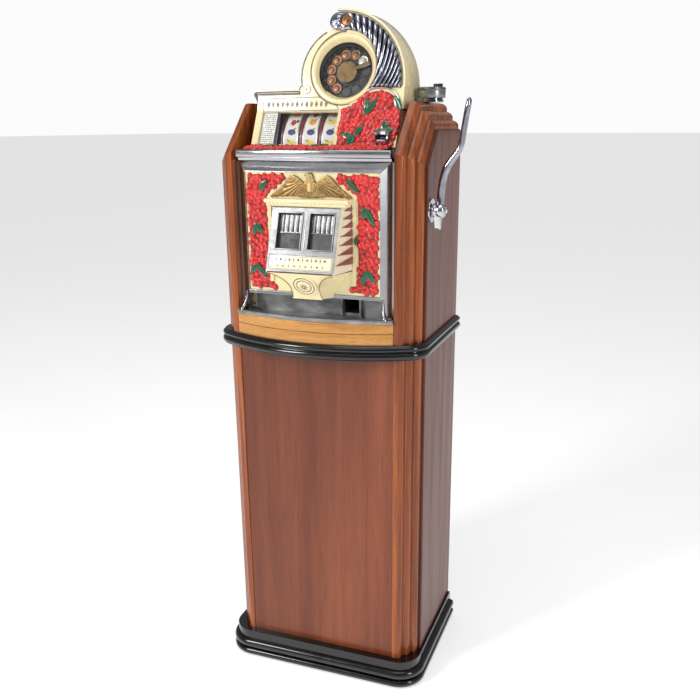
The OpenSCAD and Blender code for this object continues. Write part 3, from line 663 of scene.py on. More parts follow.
def make_belt():
    prof = [(0, 0), (6.6, 0), (7.6, .6), (8.0, 1.6)]
    prof += [(6.0 + 5.6 * math.cos(t), 9 + 7.2 * math.sin(t)) for t in np.radians(np.linspace(-74, 74, 13))]
    prof += [(6.9, 16.4), (6.7, 17.4)]
    prof += [(5.6 + 5.2 * math.cos(t), 23.6 + 5.7 * math.sin(t)) for t in np.radians(np.linspace(-70, 70, 11))]
    prof += [(6.2, 29.6), (5.4, 31.4), (4.2, 32), (0, 32)]
    rows = [bow_loop(421, 223, 230, 42, 158, o) for o, z in prof]
    n = len(rows[0])
    V = np.concatenate([np.column_stack([r, np.full(n, 785 + z)]) for r, (o, z) in zip(rows, prof)])
    faces = []
    for i in range(len(prof) - 1):
        for j in range(n):
            k = (j + 1) % n
            faces.append((i * n + j, i * n + k, (i + 1) * n + k, (i + 1) * n + j))
    faces.append(tuple(range(n))[::-1])
    faces.append(tuple((len(prof) - 1) * n + j for j in range(n)))
    mesh_obj("belt_moulding_turned", V, faces, M["black"], slot="gloss_black", replaces=["belt_moulding"], angle=50)


make_belt()


# ------------------------------------------------------------------ cherries
def seeds_in(loops, dmin, inset, holes=(), ar=1.0):
    allp = np.concatenate([np.asarray(l, float) for l in loops])
    lo, hi = allp.min(0), allp.max(0)
    C = lo + rng.random((9000, 2)) * (hi - lo)
    sd, _ = poly_sd(C, loops)
    C = C[sd > inset]
    for hx, hz, hr in holes:
        C = C[np.hypot(C[:, 0] - hx, C[:, 1] - hz) > hr]
    keep = []
    for c in C:
        if all((c[0] - k[0]) ** 2 + ((c[1] - k[1]) * ar) ** 2 > dmin * dmin for k in keep):
            keep.append(c)
    return np.array(keep)


def fruit_height(S, R, lift, floor, ar=1.0, skirt=4.5, low=-1.6):
    def f(x, z, sd):
        # the red ground between the fruit stops short of the outline, so the edge follows the fruit
        h = np.where(sd > skirt, floor, low).astype(float)
        for (sx, sz), r, l in zip(S, R, lift):
            d2 = (x - sx) ** 2 + ((z - sz) * ar) ** 2
            m = d2 < r * r
            v = l + np.sqrt(np.clip(r * r - d2[m], 0, None)) * .98 - .5 * r
            # small dimple where the stem goes in
            v -= .55 * np.exp(-(((x[m] - sx - .2 * r) ** 2 + (z[m] - sz - .35 * r) ** 2) / .9))
            h[m] = np.maximum(h[m], v)
        return h
    return f


# painted shade: the lower a point lies in the relief, the darker its colour
def painted_shading_from_height(lo, hi):
    return lambda x, z, sd, h: (h - lo) / (hi - lo)


def cherries(name, loops, F, back, dmin, inset, floor, res, holes=(), r=(5.9, 7.1), replaces=(), ar=1.0, edge=0., skirt=4.5):
    S = seeds_in(loops, dmin, inset, holes, ar)
    R = rng.uniform(r[0], r[1], len(S))
    lift = rng.uniform(.2, 1.9, len(S))
    f = fruit_height(S, R, lift, floor, ar, skirt)
    g = (lambda x, z, sd: np.where(sd <= 0, np.minimum(f(x, z, sd), edge), f(x, z, sd))) if edge else f
    return relief(name, loops, g, res, F, back, M["cherry"], painted_shading_fun=painted_shading_from_height(.4, 3.6), slot="red_enamel", replaces=replaces)


def mirror_loop(L):
    return [(-x, z) for x, z in L][::-1]


left_field = [(-147, 915), (-84, 916), (-79, 922), (-82, 931), (-92, 942), (-96.5, 952), (-96.5, 1110), (-84, 1123), (-66, 1134), (-52, 1142), (-49, 1149), (-57, 1158.5), (-147, 1158.5)]
cherries("cherries_left", [left_field], F_front, -2.6, 8.7, 5.6, 1.3, .75, replaces=["cherry_relief"], r=(6.7, 7.9))
cherries("cherries_right", [mirror_loop(left_field)], F_front, -2.6, 8.7, 5.6, 1.3, .75, r=(6.7, 7.9))

up_field = [(33.5, 1205.5), (154, 1205.5), (159, 1217), (164, 1238), (165, 1265), (163.5, 1279), (157, 1294), (147, 1307), (131, 1315.5), (108, 1317.5), (89, 1313.5),
            (73, 1305), (60, 1291.5), (44, 1285), (35, 1280), (33, 1272)]
cup = (134, 1222.9)
cherries("cherries_upper_field", [up_field], F_up, -1.8, 8.7, 4.4, 1.3, .75, holes=[(cup[0], cup[1], 20.5)], replaces=["cherries_upper"], r=(6.7, 7.9), skirt=2.4)
cherries("cherries_sill", [[(-152, -158), (154, -158), (156, -112), (-154, -112)]], F_sill, -1.6, 8.2, 4.2, 1.0, .9, r=(6.0, 7.0), skirt=1.5)


def bar_x(name, prof, x0, x1, mat, ch=1.2, **kw):
    """section (y, z) drawn along x, ends eased by a small chamfer"""
    P = np.asarray(prof, float)
    c = P.mean(0)
    n = len(P)
    V = []
    for x, k in ((x0, .93), (x0 + ch * .4, .97), (x0 + ch, 1.), (x1 - ch, 1.), (x1 - ch * .4, .97), (x1, .93)):
        Q = c + (P - c) * k
        V.append(np.column_stack([np.full(n, x), Q]))
    F = [(i * n + j, i * n + (j + 1) % n, (i + 1) * n + (j + 1) % n, (i + 1) * n + j) for i in range(5) for j in range(n)]
    F += [tuple(range(n))[::-1], tuple(5 * n + j for j in range(n))]
    return mesh_obj(name, np.concatenate(V), F, mat, **kw)


bar_x("ledge_bar_polished", [(-122, 1180.3), (-146.0, 1180.3), (-149.5, 1182.0), (-151.5, 1186.6), (-156.6, 1187.6), (-158.4, 1189.0), (-159.4, 1191.0), (-159.7, 1195.5), (-159.4, 1200.2), (-158.4, 1202.2), (-156.4, 1203.1), (-122, 1203.1)],
      -165, 169, M["alu"], slot="polished_aluminium", replaces=["ledge_bar"], angle=40)
# its back flange and the two returns that run along the case sides
for nm, ya, yb, xa, xb in (("flange", -123, -100.2, -176.6, 176.6), ("return_left", -101, -18.4, -176.6, -157.7), ("return_right", -101, -18.4, 162.7, 176.6)):
    bar_x("ledge_" + nm, [(ya, 1188.2), (yb, 1188.2), (yb, 1202.2), (yb - .6, 1202.8), (ya + .6, 1202.8), (ya, 1202.2)], xa, xb, M["alu_lines"], ch=.6, slot="polished_aluminium", angle=40)


# ------------------------------------------------------------------ leaves
def leaf(name, F, base, tip, width, lift, curl=1.2, bend=0.):
    b, t = np.array(base, float), np.array(tip, float)
    d = t - b
    Ln = np.linalg.norm(d)
    d /= Ln
    s = np.array([-d[1], d[0]])
    nu, nv = 22, 13
    V, C = [], []
    for i in range(nu):
        u = i / (nu - 1)
        w = width / 2 * (math.sin(pi * min(1, u * 1.0) ** .82) ** .75 if 0 < u < 1 else 0.02)
        w *= 1 + .07 * math.sin(u * 40)
        mid = b + d * u * Ln + s * bend * math.sin(pi * u)
        for j in range(nv):
            v = -1 + 2 * j / (nv - 1)
            p = mid + s * v * w
            h = lift + curl * math.sin(pi * u) * (1 - .55 * v * v) + .5 * math.cos((u * 7 - abs(v) * 1.6) * 2 * pi) * .35 * abs(v) * (1 - u * .5)
            h -= 1.0 * math.exp(-(v / .16) ** 2) * math.sin(pi * min(u * 1.1, 1))
            V.append(F(p[0], p[1], h))
            # painted shade: darker along the midrib groove and in the hollows between the vein ridges
            C.append(.25 + .6 * (1 - math.exp(-(v / .2) ** 2)) * (.65 + .35 * math.cos((u * 7 - abs(v) * 1.6) * 2 * pi)))
    n = nu * nv
    for i in range(nu):
        for j in range(nv):
            u, v = i / (nu - 1), -1 + 2 * j / (nv - 1)
            w = width / 2 * (math.sin(pi * min(1, u) ** .82) ** .75 if 0 < u < 1 else 0.02)
            mid = b + d * u * Ln + s * bend * math.sin(pi * u)
            p = mid + s * v * w * .96
            V.append(F(p[0], p[1], max(lift - 3.2, .1)))
            C.append(0)
    faces = []
    for i in range(nu - 1):
        for j in range(nv - 1):
            a = i * nv + j
            faces.append((a, a + 1, a + nv + 1, a + nv))
            faces.append((n + a, n + a + nv, n + a + nv + 1, n + a + 1))
    for i in range(nu - 1):
        for j, sgn in ((0, 1), (nv - 1, -1)):
            a = i * nv + j
            f = (a, a + nv, n + a + nv, n + a)
            faces.append(f if sgn > 0 else f[::-1])
    for j in range(nv - 1):
        faces.append((j, n + j, n + j + 1, j + 1))
        a = (nu - 1) * nv + j
        faces.append((a, a + 1, n + a + 1, n + a))
    return mesh_obj(name, np.array(V), faces, M["leaf"], slot="red_enamel", painted_shading=C, angle=60)


lf = 5.5
for nm, F, base, tip, w, lift in [
    ("leaf_l1", F_front, (-113.5, 1122), (-97, 1143), 10.5, lf),
    ("leaf_l2a", F_front, (-123, 1055), (-131, 1030), 10, lf), ("leaf_l2b", F_front, (-123, 1055), (-110, 1034), 9, lf),
    ("leaf_l3a", F_front, (-127, 970), (-142, 948), 9.5, lf), ("leaf_l3b", F_front, (-127, 970), (-103, 941), 9.5, lf),
    ("leaf_r1", F_front, (78, 1147), (105, 1121), 9.5, lf),
    ("leaf_r2a", F_front, (116, 1094), (114, 1070), 10, lf), ("leaf_r2b", F_front, (119, 1092), (138, 1056), 9.5, lf),
    ("leaf_r3", F_front, (99, 1036), (96, 1018), 7, lf),
    ("leaf_r4a", F_front, (121, 968), (108, 936), 10.5, lf), ("leaf_r4b", F_front, (122, 968), (137, 943), 9.5, lf),
    ("leaf_u1a", F_up, (89, 1268), (92, 1301), 9.5, 4.0), ("leaf_u1b", F_up, (89, 1268), (113, 1300), 9.5, 4.0),
    ("leaf_u2", F_up, (163, 1276), (147, 1305), 11, 3.6),
    ("leaf_u3a", F_up, (72, 1229), (90, 1247), 9, 4.0), ("leaf_u3b", F_up, (68, 1228), (45, 1229), 9.5, 4.0), ("leaf_u3c", F_up, (70, 1230), (63, 1201), 11, 4.0),
    ("leaf_u4a", F_up, (134, 1239), (114, 1233), 9, 4.2), ("leaf_u4b", F_up, (134, 1239), (134, 1258), 10, 4.2), ("leaf_u4c", F_up, (134, 1239), (152, 1238), 10, 4.2),
    ("leaf_s1", F_sill, (-112, -132), (-84, -121), 12, 3.4), ("leaf_s2", F_sill, (-10, -128), (24, -119), 13, 3.4),
]:
    leaf(nm, F, base, tip, w * 1.22, lift if lift > 5 else lift + 1.1)


# ------------------------------------------------------------------ eagle
def make_eagle():
    r = [(0, 1111), (9, 1110), (16, 1111.5), (24, 1110.5)]
    # lower edge with feather tips
    for i in range(11):
        t = i / 10
        x = 27 + 64 * t
        r.append((x, 1112.3 - 3.2 * t + (2.2 if i % 2 else 0)))
    r += [(91, 1109), (87, 1114.5), (80, 1119), (74, 1124), (69, 1126.5), (64, 1132), (58, 1137), (54, 1143), (48, 1149), (42, 1153.5), (36, 1154.5), (30, 1152), (24, 1148), (18, 1142.5),
          (13, 1139), (9.5, 1141), (8, 1146), (6.5, 1150), (6.5, 1154.5), (4, 1158), (0, 1159.2)]
    L = [(-x, z) for x, z in r[::-1][1:]] + r[:-1]
    # beak to the left
    L = r + [(-3, 1159), (-7, 1157.6), (-12, 1155.4), (-13.6, 1152.6), (-11.4, 1153), (-8, 1152), (-7, 1149.5), (-8, 1146), (-9.5, 1141), (-13, 1139), (-18, 1142.5), (-24, 1148), (-30, 1152), (-36, 1154.5),
             (-42, 1153.5), (-48, 1149), (-54, 1143), (-58, 1137), (-64, 1132), (-69, 1126.5), (-74, 1124), (-80, 1119), (-87, 1114.5), (-91, 1109)]
    for i in range(10, -1, -1):
        t = i / 10
        L.append((-(27 + 64 * t), 1112.3 - 3.2 * t + (2.2 if i % 2 else 0)))
    L += [(-24, 1110.5), (-16, 1111.5), (-9, 1110)]

    def hf(x, z, sd):
        ax = np.abs(x)
        # wing: fan about the shoulder
        px, pz = ax - 8, z - 1146
        ang = np.degrees(np.arctan2(pz, px))
        rad = np.hypot(px, pz)
        top = np.interp(ax, [8, 18, 26, 34, 42, 50, 58, 66, 74, 84, 91], [1140, 1143, 1149, 1153.5, 1153.5, 1148, 1138, 1130, 1124, 1117, 1110])
        down = np.clip(top - z, 0, 60)
        h = 3.0 + 3.0 * np.exp(-(down / 9) ** 2) + 1.4 * np.exp(-((rad - 30) / 22) ** 2)
        # long flight feathers
        lines = np.abs(np.sin((ang + 200) / 180 * pi * 21))
        h += np.where(down > 12, (lines ** .5 - .6) * 3.2, 0)
        # short coverts in overlapping rows
        rows = (down / 4.2)
        sc = np.abs(np.sin((ax * .42 + np.floor(rows) * .5 * pi)))
        h += np.where((down <= 12) & (down > 2), ((1 - (rows % 1)) * 1.4 + sc * 1.2 - .8), 0)
        # body
        b = 1 - (x / 8.5) ** 2 - ((z - 1130) / 17) ** 2
        hb = 5.2 + 4.6 * np.sqrt(np.clip(b, 0, None)) + .5 * np.sin(z * 2.2) * np.cos(x * 1.6)
        h = np.where(b > 0, np.maximum(h, hb), h)
        # neck and head
        c = 1 - ((x + .5) / 6.2) ** 2 - ((z - 1147) / 12.5) ** 2
        h = np.where(c > 0, np.maximum(h, 6.0 + 3.6 * np.sqrt(np.clip(c, 0, None)) + .3 * np.sin(z * 3) * np.cos(x * 3)), h)
        e = 1 - ((x + 2.5) / 5.2) ** 2 - ((z - 1154.3) / 4.6) ** 2
        h = np.where(e > 0, np.maximum(h, 7.2 + 3.2 * np.sqrt(np.clip(e, 0, None))), h)
        k = 1 - ((x + 9) / 5.2) ** 2 - ((z - 1154) / 2.2) ** 2
        h = np.where(k > 0, np.maximum(h, 6.4 + 1.8 * np.sqrt(np.clip(k, 0, None))), h)
        h -= 1.2 * np.exp(-(((x + 4.6) ** 2 + (z - 1155.3) ** 2) / .5))
        # tail and legs
        t = (z < 1121) & (ax < 11)
        h = np.where(t, 4.6 + 1.4 * np.abs(np.sin(x * .75)) + .08 * (1121 - z), h)
        # sprigs under the wings
        spr = (z < 1117) & (ax > 11) & (ax < 33)
        h = np.where(spr, 3.6 + 1.6 * np.abs(np.sin(ax * .62 + z * .5)) + 1.0 * np.abs(np.sin(ax * .5 - z * .7)), h)
        rim = np.clip(sd / 1.6, 0, 1)
        return .6 + (np.clip(h, .6, 11.2) - .6) * (.35 + .65 * np.sqrt(rim))

    # painted shade: darker where the relief lies low and along its outline
    def cv(x, z, sd, h):
        from_avg = h - (4.2 + 0 * h)
        return np.clip(.55 + from_avg * .13, 0, 1) * (.45 + .55 * np.clip(sd / 1.2, 0, 1))
    relief("eagle_sculpted", [L], hf, .62, F_front, -.4, M["eagle"], painted_shading_fun=cv, slot="gold_bronze", replaces=["eagle_relief"], angle=75)


make_eagle()


# ------------------------------------------------------------------ jackpot housing
def jy(z):
    return -181 - (1094 - z) * .34375


def make_jackpot():
    # cheeks: ruled sheets from the face edge back to the panel, thickened inwards by 2.2 mm
    for s in (1, -1):
        V, faces = [], []
        nz, nx = 34, 10
        zt, zb = 1093.6, 966.3
        for i in range(nz):
            t = i / (nz - 1)
            zf = zt + (zb - zt) * t
            zp = 1096.8 + (968 - 1096.8) * t
            for j in range(nx):
                v = j / (nx - 1)
                x = 74.2 + (88.6 - 74.2) * v
                y = (jy(zf) + .6) * (1 - v) + (-155) * v
                V.append((s * x, y, zf * (1 - v) + zp * v))
        n = len(V)
        for i in range(n):
            x, y, z = V[i]
            V.append((x - s * 2.2, y + .3, z))
        for i in range(nz - 1):
            for j in range(nx - 1):
                a = i * nx + j
                f = (a, a + 1, a + nx + 1, a + nx)
                faces.append(f)
                faces.append(tuple(n + k for k in f[::-1]))
        for i in range(nz - 1):
            for j in (0, nx - 1):
                a = i * nx + j
                faces.append((a, a + nx, n + a + nx, n + a))
        for j in range(nx - 1):
            for i in (0, nz - 1):
                a = i * nx + j
                faces.append((a, a + 1, n + a + 1, n + a))
        mesh_obj("jackpot_cheek_" + ("right" if s > 0 else "left"), V, faces, M["cream_pale"], slot="cream_enamel", angle=60)
        # russet triangles: base along the panel edge, point forward
        tz = [1089, 1073.5, 1057.5, 1041, 1024, 1006, 986.5]
        tl = [.66, .72, .76, .8, .84, .88, .92]
        W, fc = [], []

        def at(v, zz, out):
            t = (zt - zz) / (zt - zb)
            zf = zz
            zp = 1096.8 + (968 - 1096.8) * t
            x = 74.2 + (88.6 - 74.2) * v
            y = (jy(zf) + .6) * (1 - v) + (-155) * v
            nrm = np.array([s * 1.0, -.28, 0])
            return np.array([s * x, y, zf * (1 - v) + zp * v]) + nrm * (out + (1.7 if s > 0 and out > 0 else 0))
        for zc, ln in zip(tz, tl):
            hh = 6.4 + (1089 - zc) * .014
            k = len(W)
            # a shallow raised prism, ridge down the middle
            W += [at(.97, zc + hh, .9), at(.97, zc - hh, .9), at(.97 - ln, zc - 2.5, .9), at(.9, zc, 2.3), at(.97 - ln * .6, zc - 1.6, 1.8)]
            W += [at(.97, zc + hh, -.8), at(.97, zc - hh, -.8), at(.97 - ln, zc - 2.5, -.8)]
            fc += [(k, k + 3, k + 1), (k + 3, k + 4, k + 1), (k + 4, k + 2, k + 1), (k, k + 4, k + 3), (k, k + 2, k + 4),
                   (k + 5, k + 6, k + 7), (k, k + 1, k + 6, k + 5), (k + 1, k + 2, k + 7, k + 6), (k + 2, k, k + 5, k + 7)]
        mesh_obj("cheek_flutes_" + ("right" if s > 0 else "left"), W, fc, M["russet"], slot="mahogany", angle=20, weld=False)
    finish_node("jackpot_housing", "cream_pale", .8)
    # rope moulding under the ledge
    for k, (x0, x1) in enumerate([(-86, 86)]):
        n, m = 190, 14
        V, C = [], []
        for i in range(n):
            x = x0 + (x1 - x0) * i / (n - 1)
            for j in range(m):
                th = 2 * pi * j / m
                w = 1 + .26 * abs(math.sin(th * 1.0 + (x - x0) / 9.2 * pi)) ** .6
                V.append((x, -184.6 - 2.6 * w * math.cos(th), 1097.4 + 3.0 * w * math.sin(th)))
                # painted shade: darker in the hollows of the twist
                C.append((w - .98) / .24)
        faces = [(i * m + j, i * m + (j + 1) % m, (i + 1) * m + (j + 1) % m, (i + 1) * m + j) for i in range(n - 1) for j in range(m)]
        faces += [tuple(range(m))[::-1], tuple((n - 1) * m + j for j in range(m))]
        mesh_obj("rope_moulding", V, faces, M["crest_cream"], slot="cream_enamel", painted_shading=C, angle=70)
    # ledge with a soft front edge
    prof = [(-161, 1101.2), (-186, 1101.2), (-187.6, 1102.2), (-188.2, 1104.2), (-187.4, 1106.6), (-185.2, 1108.1), (-161, 1108.4)]
    V = [(x, y, z) for x in (-91.5, -90.6, 90.6, 91.5) for y, z in [(p[0] + (1.0 if abs(x) > 91 else 0), p[1]) for p in prof]]
    m = len(prof)
    faces = [(i * m + j, i * m + (j + 1) % m, (i + 1) * m + (j + 1) % m, (i + 1) * m + j) for i in range(3) for j in range(m)]
    faces += [tuple(range(m))[::-1], tuple(3 * m + j for j in range(m))]
    mesh_obj("jackpot_ledge", V, faces, M["cream"], slot="cream_enamel", angle=50)


make_jackpot()


def make_windows():
    # inner lips of the two windows
    for k, (x0, x1) in enumerate([(-60, -3), (10, 66)]):
        z0, z1 = -88, -10.5
        nm = "lr"[k]
        for q, (a, b, c, d, hh) in enumerate([(x0, x1, z1 - 3.2, z1 + .2, 1.6), (x0, x1, z0 - .2, z0 + 2.6, 1.3), (x0 - .2, x0 + 2.4, z0, z1, 1.5), (x1 - 2.4, x1 + .2, z0, z1, 1.5)]):
            plate(f"window_lip_{nm}{q}", F_jack, rect(a, b, c, d), -4.6, hh, M["pewter"], bev=.6, slot="polished_aluminium")
        # bright comb: tapered fingers with dark gaps, behind the glass
        zs0, zs1 = -51.5, -14.5
        n = 5
        w = (x1 - x0 - 4) / n
        objs = []
        for i in range(n):
            cx = x0 + 2 + (i + .5) * w
            o = plate(f"finger_{nm}{i}", F_jack, [(cx - w * .30, zs0), (cx + w * .30, zs0), (cx + w * .40, zs0 + 12), (cx + w * .485, zs1), (cx - w * .485, zs1), (cx - w * .40, zs0 + 12)],
                      -9.2, -7.6, M["fingers"], bev=.7)
            objs.append(o)
            for g in (-.26, 0, .26):
                objs.append(tube(f"rib_{nm}{i}{g}", F_jack(np.array([cx + g * w * .55, cx + g * w * 1.3]), np.array([zs0 + 4, zs1 - 3]), np.array([-7.5, -7.5])), .42, M["chrome"], n=8))
        join(f"comb_fingers_{nm}", objs, slot="steel")
        plate(f"comb_shadow_{nm}", F_jack, rect(x0 + .6, x1 - .6, zs0 - 3, zs1 + 3), -12.6, -11.4, M["felt"], bev=.3, slot="black_steel")
        # rail under the fingers and the frosted pane below it
        tube(f"comb_rail_{nm}", F_jack(np.array([x0 + 1.5, x1 - 1.5]), np.array([-51.6, -51.6]), np.array([-6.6, -6.6])), 1.3, M["chrome"], n=12, slot="chrome")
        plate(f"lower_pane_{nm}", F_jack, rect(x0 + 2, x1 - 2, z0 + 2.2, -53), -9.6, -8.2, M["frost"], bev=.4, slot="glass")
        plate(f"pane_back_{nm}", F_jack, rect(x0 + .6, x1 - .6, z0 + .6, -52), -20, -18.4, M["steel_dark"], bev=.4, slot="steel")
    # bright upright between the windows
    tube("window_upright", F_jack(np.array([3.5, 3.5]), np.array([-11, -87.5]), np.array([-.4, -.4])), 1.5, M["alu"], n=16, slot="polished_aluminium")


make_windows()


def generic_plate(name, F, x0, x1, z0, z1, h, mat, lm, rows):
    """plate with a border line and a row ornament of lozenges and bars"""
    plate(name, F, rrect(x0, x1, z0, z1, 1.2), h - 1.2, h, mat, bev=.35, slot="cream_enamel")
    objs = []
    for k, ins in enumerate((2.0,)):
        L = rrect(x0 + ins, x1 - ins, z0 + ins, z1 - ins, 1.0)
        P = np.array(L + [L[0]])
        objs.append(tube(f"{name}_b{k}", F(P[:, 0], P[:, 1], np.full(len(P), h + .05)), .38, lm, n=8))
    for z, hh, pitch, sx in rows:
        n = int((x1 - x0 - 14) // pitch)
        for i in range(n):
            cx = (x0 + x1) / 2 + (i - (n - 1) / 2) * pitch
            if i % 2:
                P = [(cx - sx * .5, z), (cx, z - hh / 2), (cx + sx * .5, z), (cx, z + hh / 2)]
            else:
                P = [(cx - sx * .16, z - hh / 2), (cx + sx * .16, z - hh / 2), (cx + sx * .16, z + hh / 2), (cx - sx * .16, z + hh / 2)]
            objs.append(plate(f"{name}_o{z}_{i}", F, P, h - .4, h + .45, lm, bev=.2))
    join(name + "_ornament", objs, slot="black_steel")


generic_plate("label_plate", F_jack, -68.6, 68.6, -128.6, -99.4, -.2, M["cream_pale"], M["line"], [(-107.5, 6.5, 9.6, 6.4), (-120.5, 4.2, 12.4, 6)])


# ------------------------------------------------------------------ apron
def make_apron():
    sh = np.array([[966, 75.5, 88], [961, 58.5, 84], [955, 48, 76], [949, 41, 69], [942, 35, 62], [934, 31.5, 56], [925, 31, 51], [916, 31.5, 48], [909, 33, 46]], float)
    zz = np.linspace(966, 909, 46)
    wf = np.interp(-zz, -sh[:, 0], sh[:, 1])
    wb = np.interp(-zz, -sh[:, 0], sh[:, 2])
    for _ in range(2):
        wf[1:-1] = .5 * wf[1:-1] + .25 * (wf[:-2] + wf[2:])
        wb[1:-1] = .5 * wb[1:-1] + .25 * (wb[:-2] + wb[2:])
    yf = -186 - (zz - 909) * .684
    yf = yf + 2.6 * np.sin(np.clip((966 - zz) / 57, 0, 1) * pi)
    yb = np.where(zz > 920, -155.2, -158.8)
    # the front sheet sweeps in x: v from -1 to 1, then the cheeks run back to the panel
    vs = np.concatenate([np.linspace(0, 1, 15)])
    V, row = [], None
    m = 0
    for i, z in enumerate(zz):
        r = []
        for v in np.linspace(-1, 1, 31):
            r.append((wf[i] * v, yf[i] + 1.6 * abs(v) ** 6, z))
        right = []
        for k in np.linspace(0, 1, 10)[1:]:
            x = wf[i] + (wb[i] - wf[i]) * k ** 1.35
            y = (yf[i] + 1.6) * (1 - k) + yb[i] * k
            right.append((x, y, z - 1.2 * k))
        left = [(-x, y, zq) for x, y, zq in right][::-1]
        full = left + r + right
        m = len(full)
        V += full
    n = len(V)
    faces = [(i * m + j, i * m + j + 1, (i + 1) * m + j + 1, (i + 1) * m + j) for i in range(len(zz) - 1) for j in range(m - 1)]
    # back sheet
    V += [(x * .97, min(y + 3.2, -155.0 if z > 918 else -158.7), z) for x, y, z in V]
    faces += [tuple(n + k for k in f[::-1]) for f in list(faces)]
    R = len(zz)
    for i in range(R - 1):
        for j in (0, m - 1):
            a = i * m + j
            faces.append((a, a + m, n + a + m, n + a))
    for j in range(m - 1):
        for i in (0, R - 1):
            a = i * m + j
            faces.append((a, a + 1, n + a + 1, n + a))
    mesh_obj("apron_swept", V, faces, M["cream"], slot="cream_enamel", replaces=["apron_shield"], angle=50)
    # dark seam lines down the two edges of the shield, and a rolled foot
    for s in (1, -1):
        P = [(s * (wf[i] + .3), yf[i] + 1.1, zz[i]) for i in range(1, R)]
        tube("apron_seam_" + ("r" if s > 0 else "l"), P, .75, M["line"], n=8, slot="black_steel")
    P = [(x, -186.6 + 1.2 * abs(x / 33) ** 6, 908.9) for x in np.linspace(-33, 33, 24)]
    tube("apron_foot", P, 1.5, M["cream"], n=10, slot="cream_enamel")
    # medallion of rings lying on the sweep
    lean = math.atan(.684)
    Fm = Frame((2, -206.2, 938), 0)
    Fm.u = np.array([0, -math.sin(lean), math.cos(lean)])
    Fm.n = np.array([0, -math.cos(lean), -math.sin(lean)])
    lathe("apron_medallion", [(0, -1.5), (27.5, -1.5), (27.5, .2), (26.8, 1.1), (25.4, 1.5), (23.6, 1.1), (22.9, .5), (21.0, .5), (20.2, 1.4), (18.6, 1.9), (17.0, 1.4), (16.2, .6),
                               (14.6, .6), (13.6, 1.6), (11.6, 2.1), (0, 2.5)], Fm, 0, 0, M["cream"], n=72, slot="cream_enamel")
    objs = []
    for r in (22.0, 15.4):
        P = arc(0, 0, r, 0, 360, 73)
        objs.append(tube(f"ring{r}", Fm(P[:, 0], P[:, 1], np.full(73, .55)), .8, M["line"], n=6, cap=False))
    for k in range(8):
        t = k * pi / 4
        c, s_ = math.cos(t), math.sin(t)
        P = [(2.2 * c - 1.3 * s_, 2.2 * s_ + 1.3 * c), (9.6 * c, 9.6 * s_), (2.2 * c + 1.3 * s_, 2.2 * s_ - 1.3 * c)]
        objs.append(plate(f"petal{k}", Fm, P, 1.6, 2.9, M["line"], bev=.15))
    join("medallion_star", objs, slot="black_steel")


make_apron()


# ------------------------------------------------------------------ title plate, window frame, award card
def make_title():
    # frame line round the title field
    P = np.array([(-142, 1278.6), (-143.4, 1303.4), (-18, 1305.4), (14, 1295), (27, 1284), (27.5, 1279), (-142, 1278.6)])
    Q = []
    for a, b in zip(P[:-1], P[1:]):
        for t in np.linspace(0, 1, 12, endpoint=False):
            Q.append(a + (b - a) * t)
    Q.append(P[-1])
    Q = np.array(Q)
    tube("title_border", F_cr(Q[:, 0], Q[:, 1], np.full(len(Q), .25)), .7, M["line"], n=8, slot="black_steel")
    objs = []
    for i in range(13):
        cx = -131 + i * 10.9
        if cx > 8:
            break
        z = 1291.6
        if i % 2 == 0:
            Pp = [(cx - 3.6, z), (cx, z - 7), (cx + 3.6, z), (cx, z + 7)]
            objs.append(plate(f"t{i}", F_cr, Pp, -.3, .9, M["line"], bev=.3))
        else:
            for dx in (-2.1, 0, 2.1):
                objs.append(plate(f"t{i}{dx}", F_cr, rect(cx + dx - .55, cx + dx + .55, z - 6 + abs(dx), z + 6 - abs(dx)), -.3, .8, M["line"], bev=.2))
    join("title_ornament", objs, slot="black_steel")
    # grey rim along the top with a pointed wing at the left
    V = []
    prof = [(4.2, 1311.6), (5.0, 1313.2), (4.6, 1315.8), (3.0, 1317.6), (.5, 1318.6), (-14, 1318.8), (-14, 1311.6)]
    xs = np.linspace(-62, -157, 20).tolist() + [-160, -163, -165.2, -166.4]
    m = len(prof)
    for x in xs:
        k = 0 if x >= -157 else (-157 - x) / 9.4
        for h, z in prof:
            zc = 1315.4
            base = F_cr(x, 1313, h * (1 - .55 * k))
            V.append((x, base[1], zc + (z - zc) * (1 - .62 * k) - 1.0 * k))
    faces = [(i * m + j, i * m + (j + 1) % m, (i + 1) * m + (j + 1) % m, (i + 1) * m + j) for i in range(len(xs) - 1) for j in range(m)]
    faces += [tuple(range(m))[::-1], tuple((len(xs) - 1) * m + j for j in range(m))]
    mesh_obj("title_top_rim", V, faces, M["pewter"], slot="polished_aluminium", angle=50)
    # grey side wing that curls down at the left
    P = [(-164.5, -61, 1312.6), (-161.5, -60, 1306), (-159.2, -60, 1298), (-158.3, -61.5, 1288)]
    tube("title_wing", P, [3.6, 3.0, 2.2, 1.2], M["pewter"], n=12, slot="polished_aluminium")
    # window frame lines round the reel opening
    P = [(-143.4, 8.2), (-143.4, 80.8), (29.4, 80.8), (29.4, 8.2)]
    Q = []
    for a, b in zip(P[:-1], P[1:]):
        for t in np.linspace(0, 1, 10, endpoint=False):
            Q.append((a[0] + (b[0] - a[0]) * t, a[1] + (b[1] - a[1]) * t))
    Q.append(P[-1])
    Q = np.array(Q)
    tube("window_edge", F_reel(Q[:, 0], Q[:, 1], np.full(len(Q), .3)), .8, M["cream_pale"], n=8, slot="cream_enamel")


make_title()


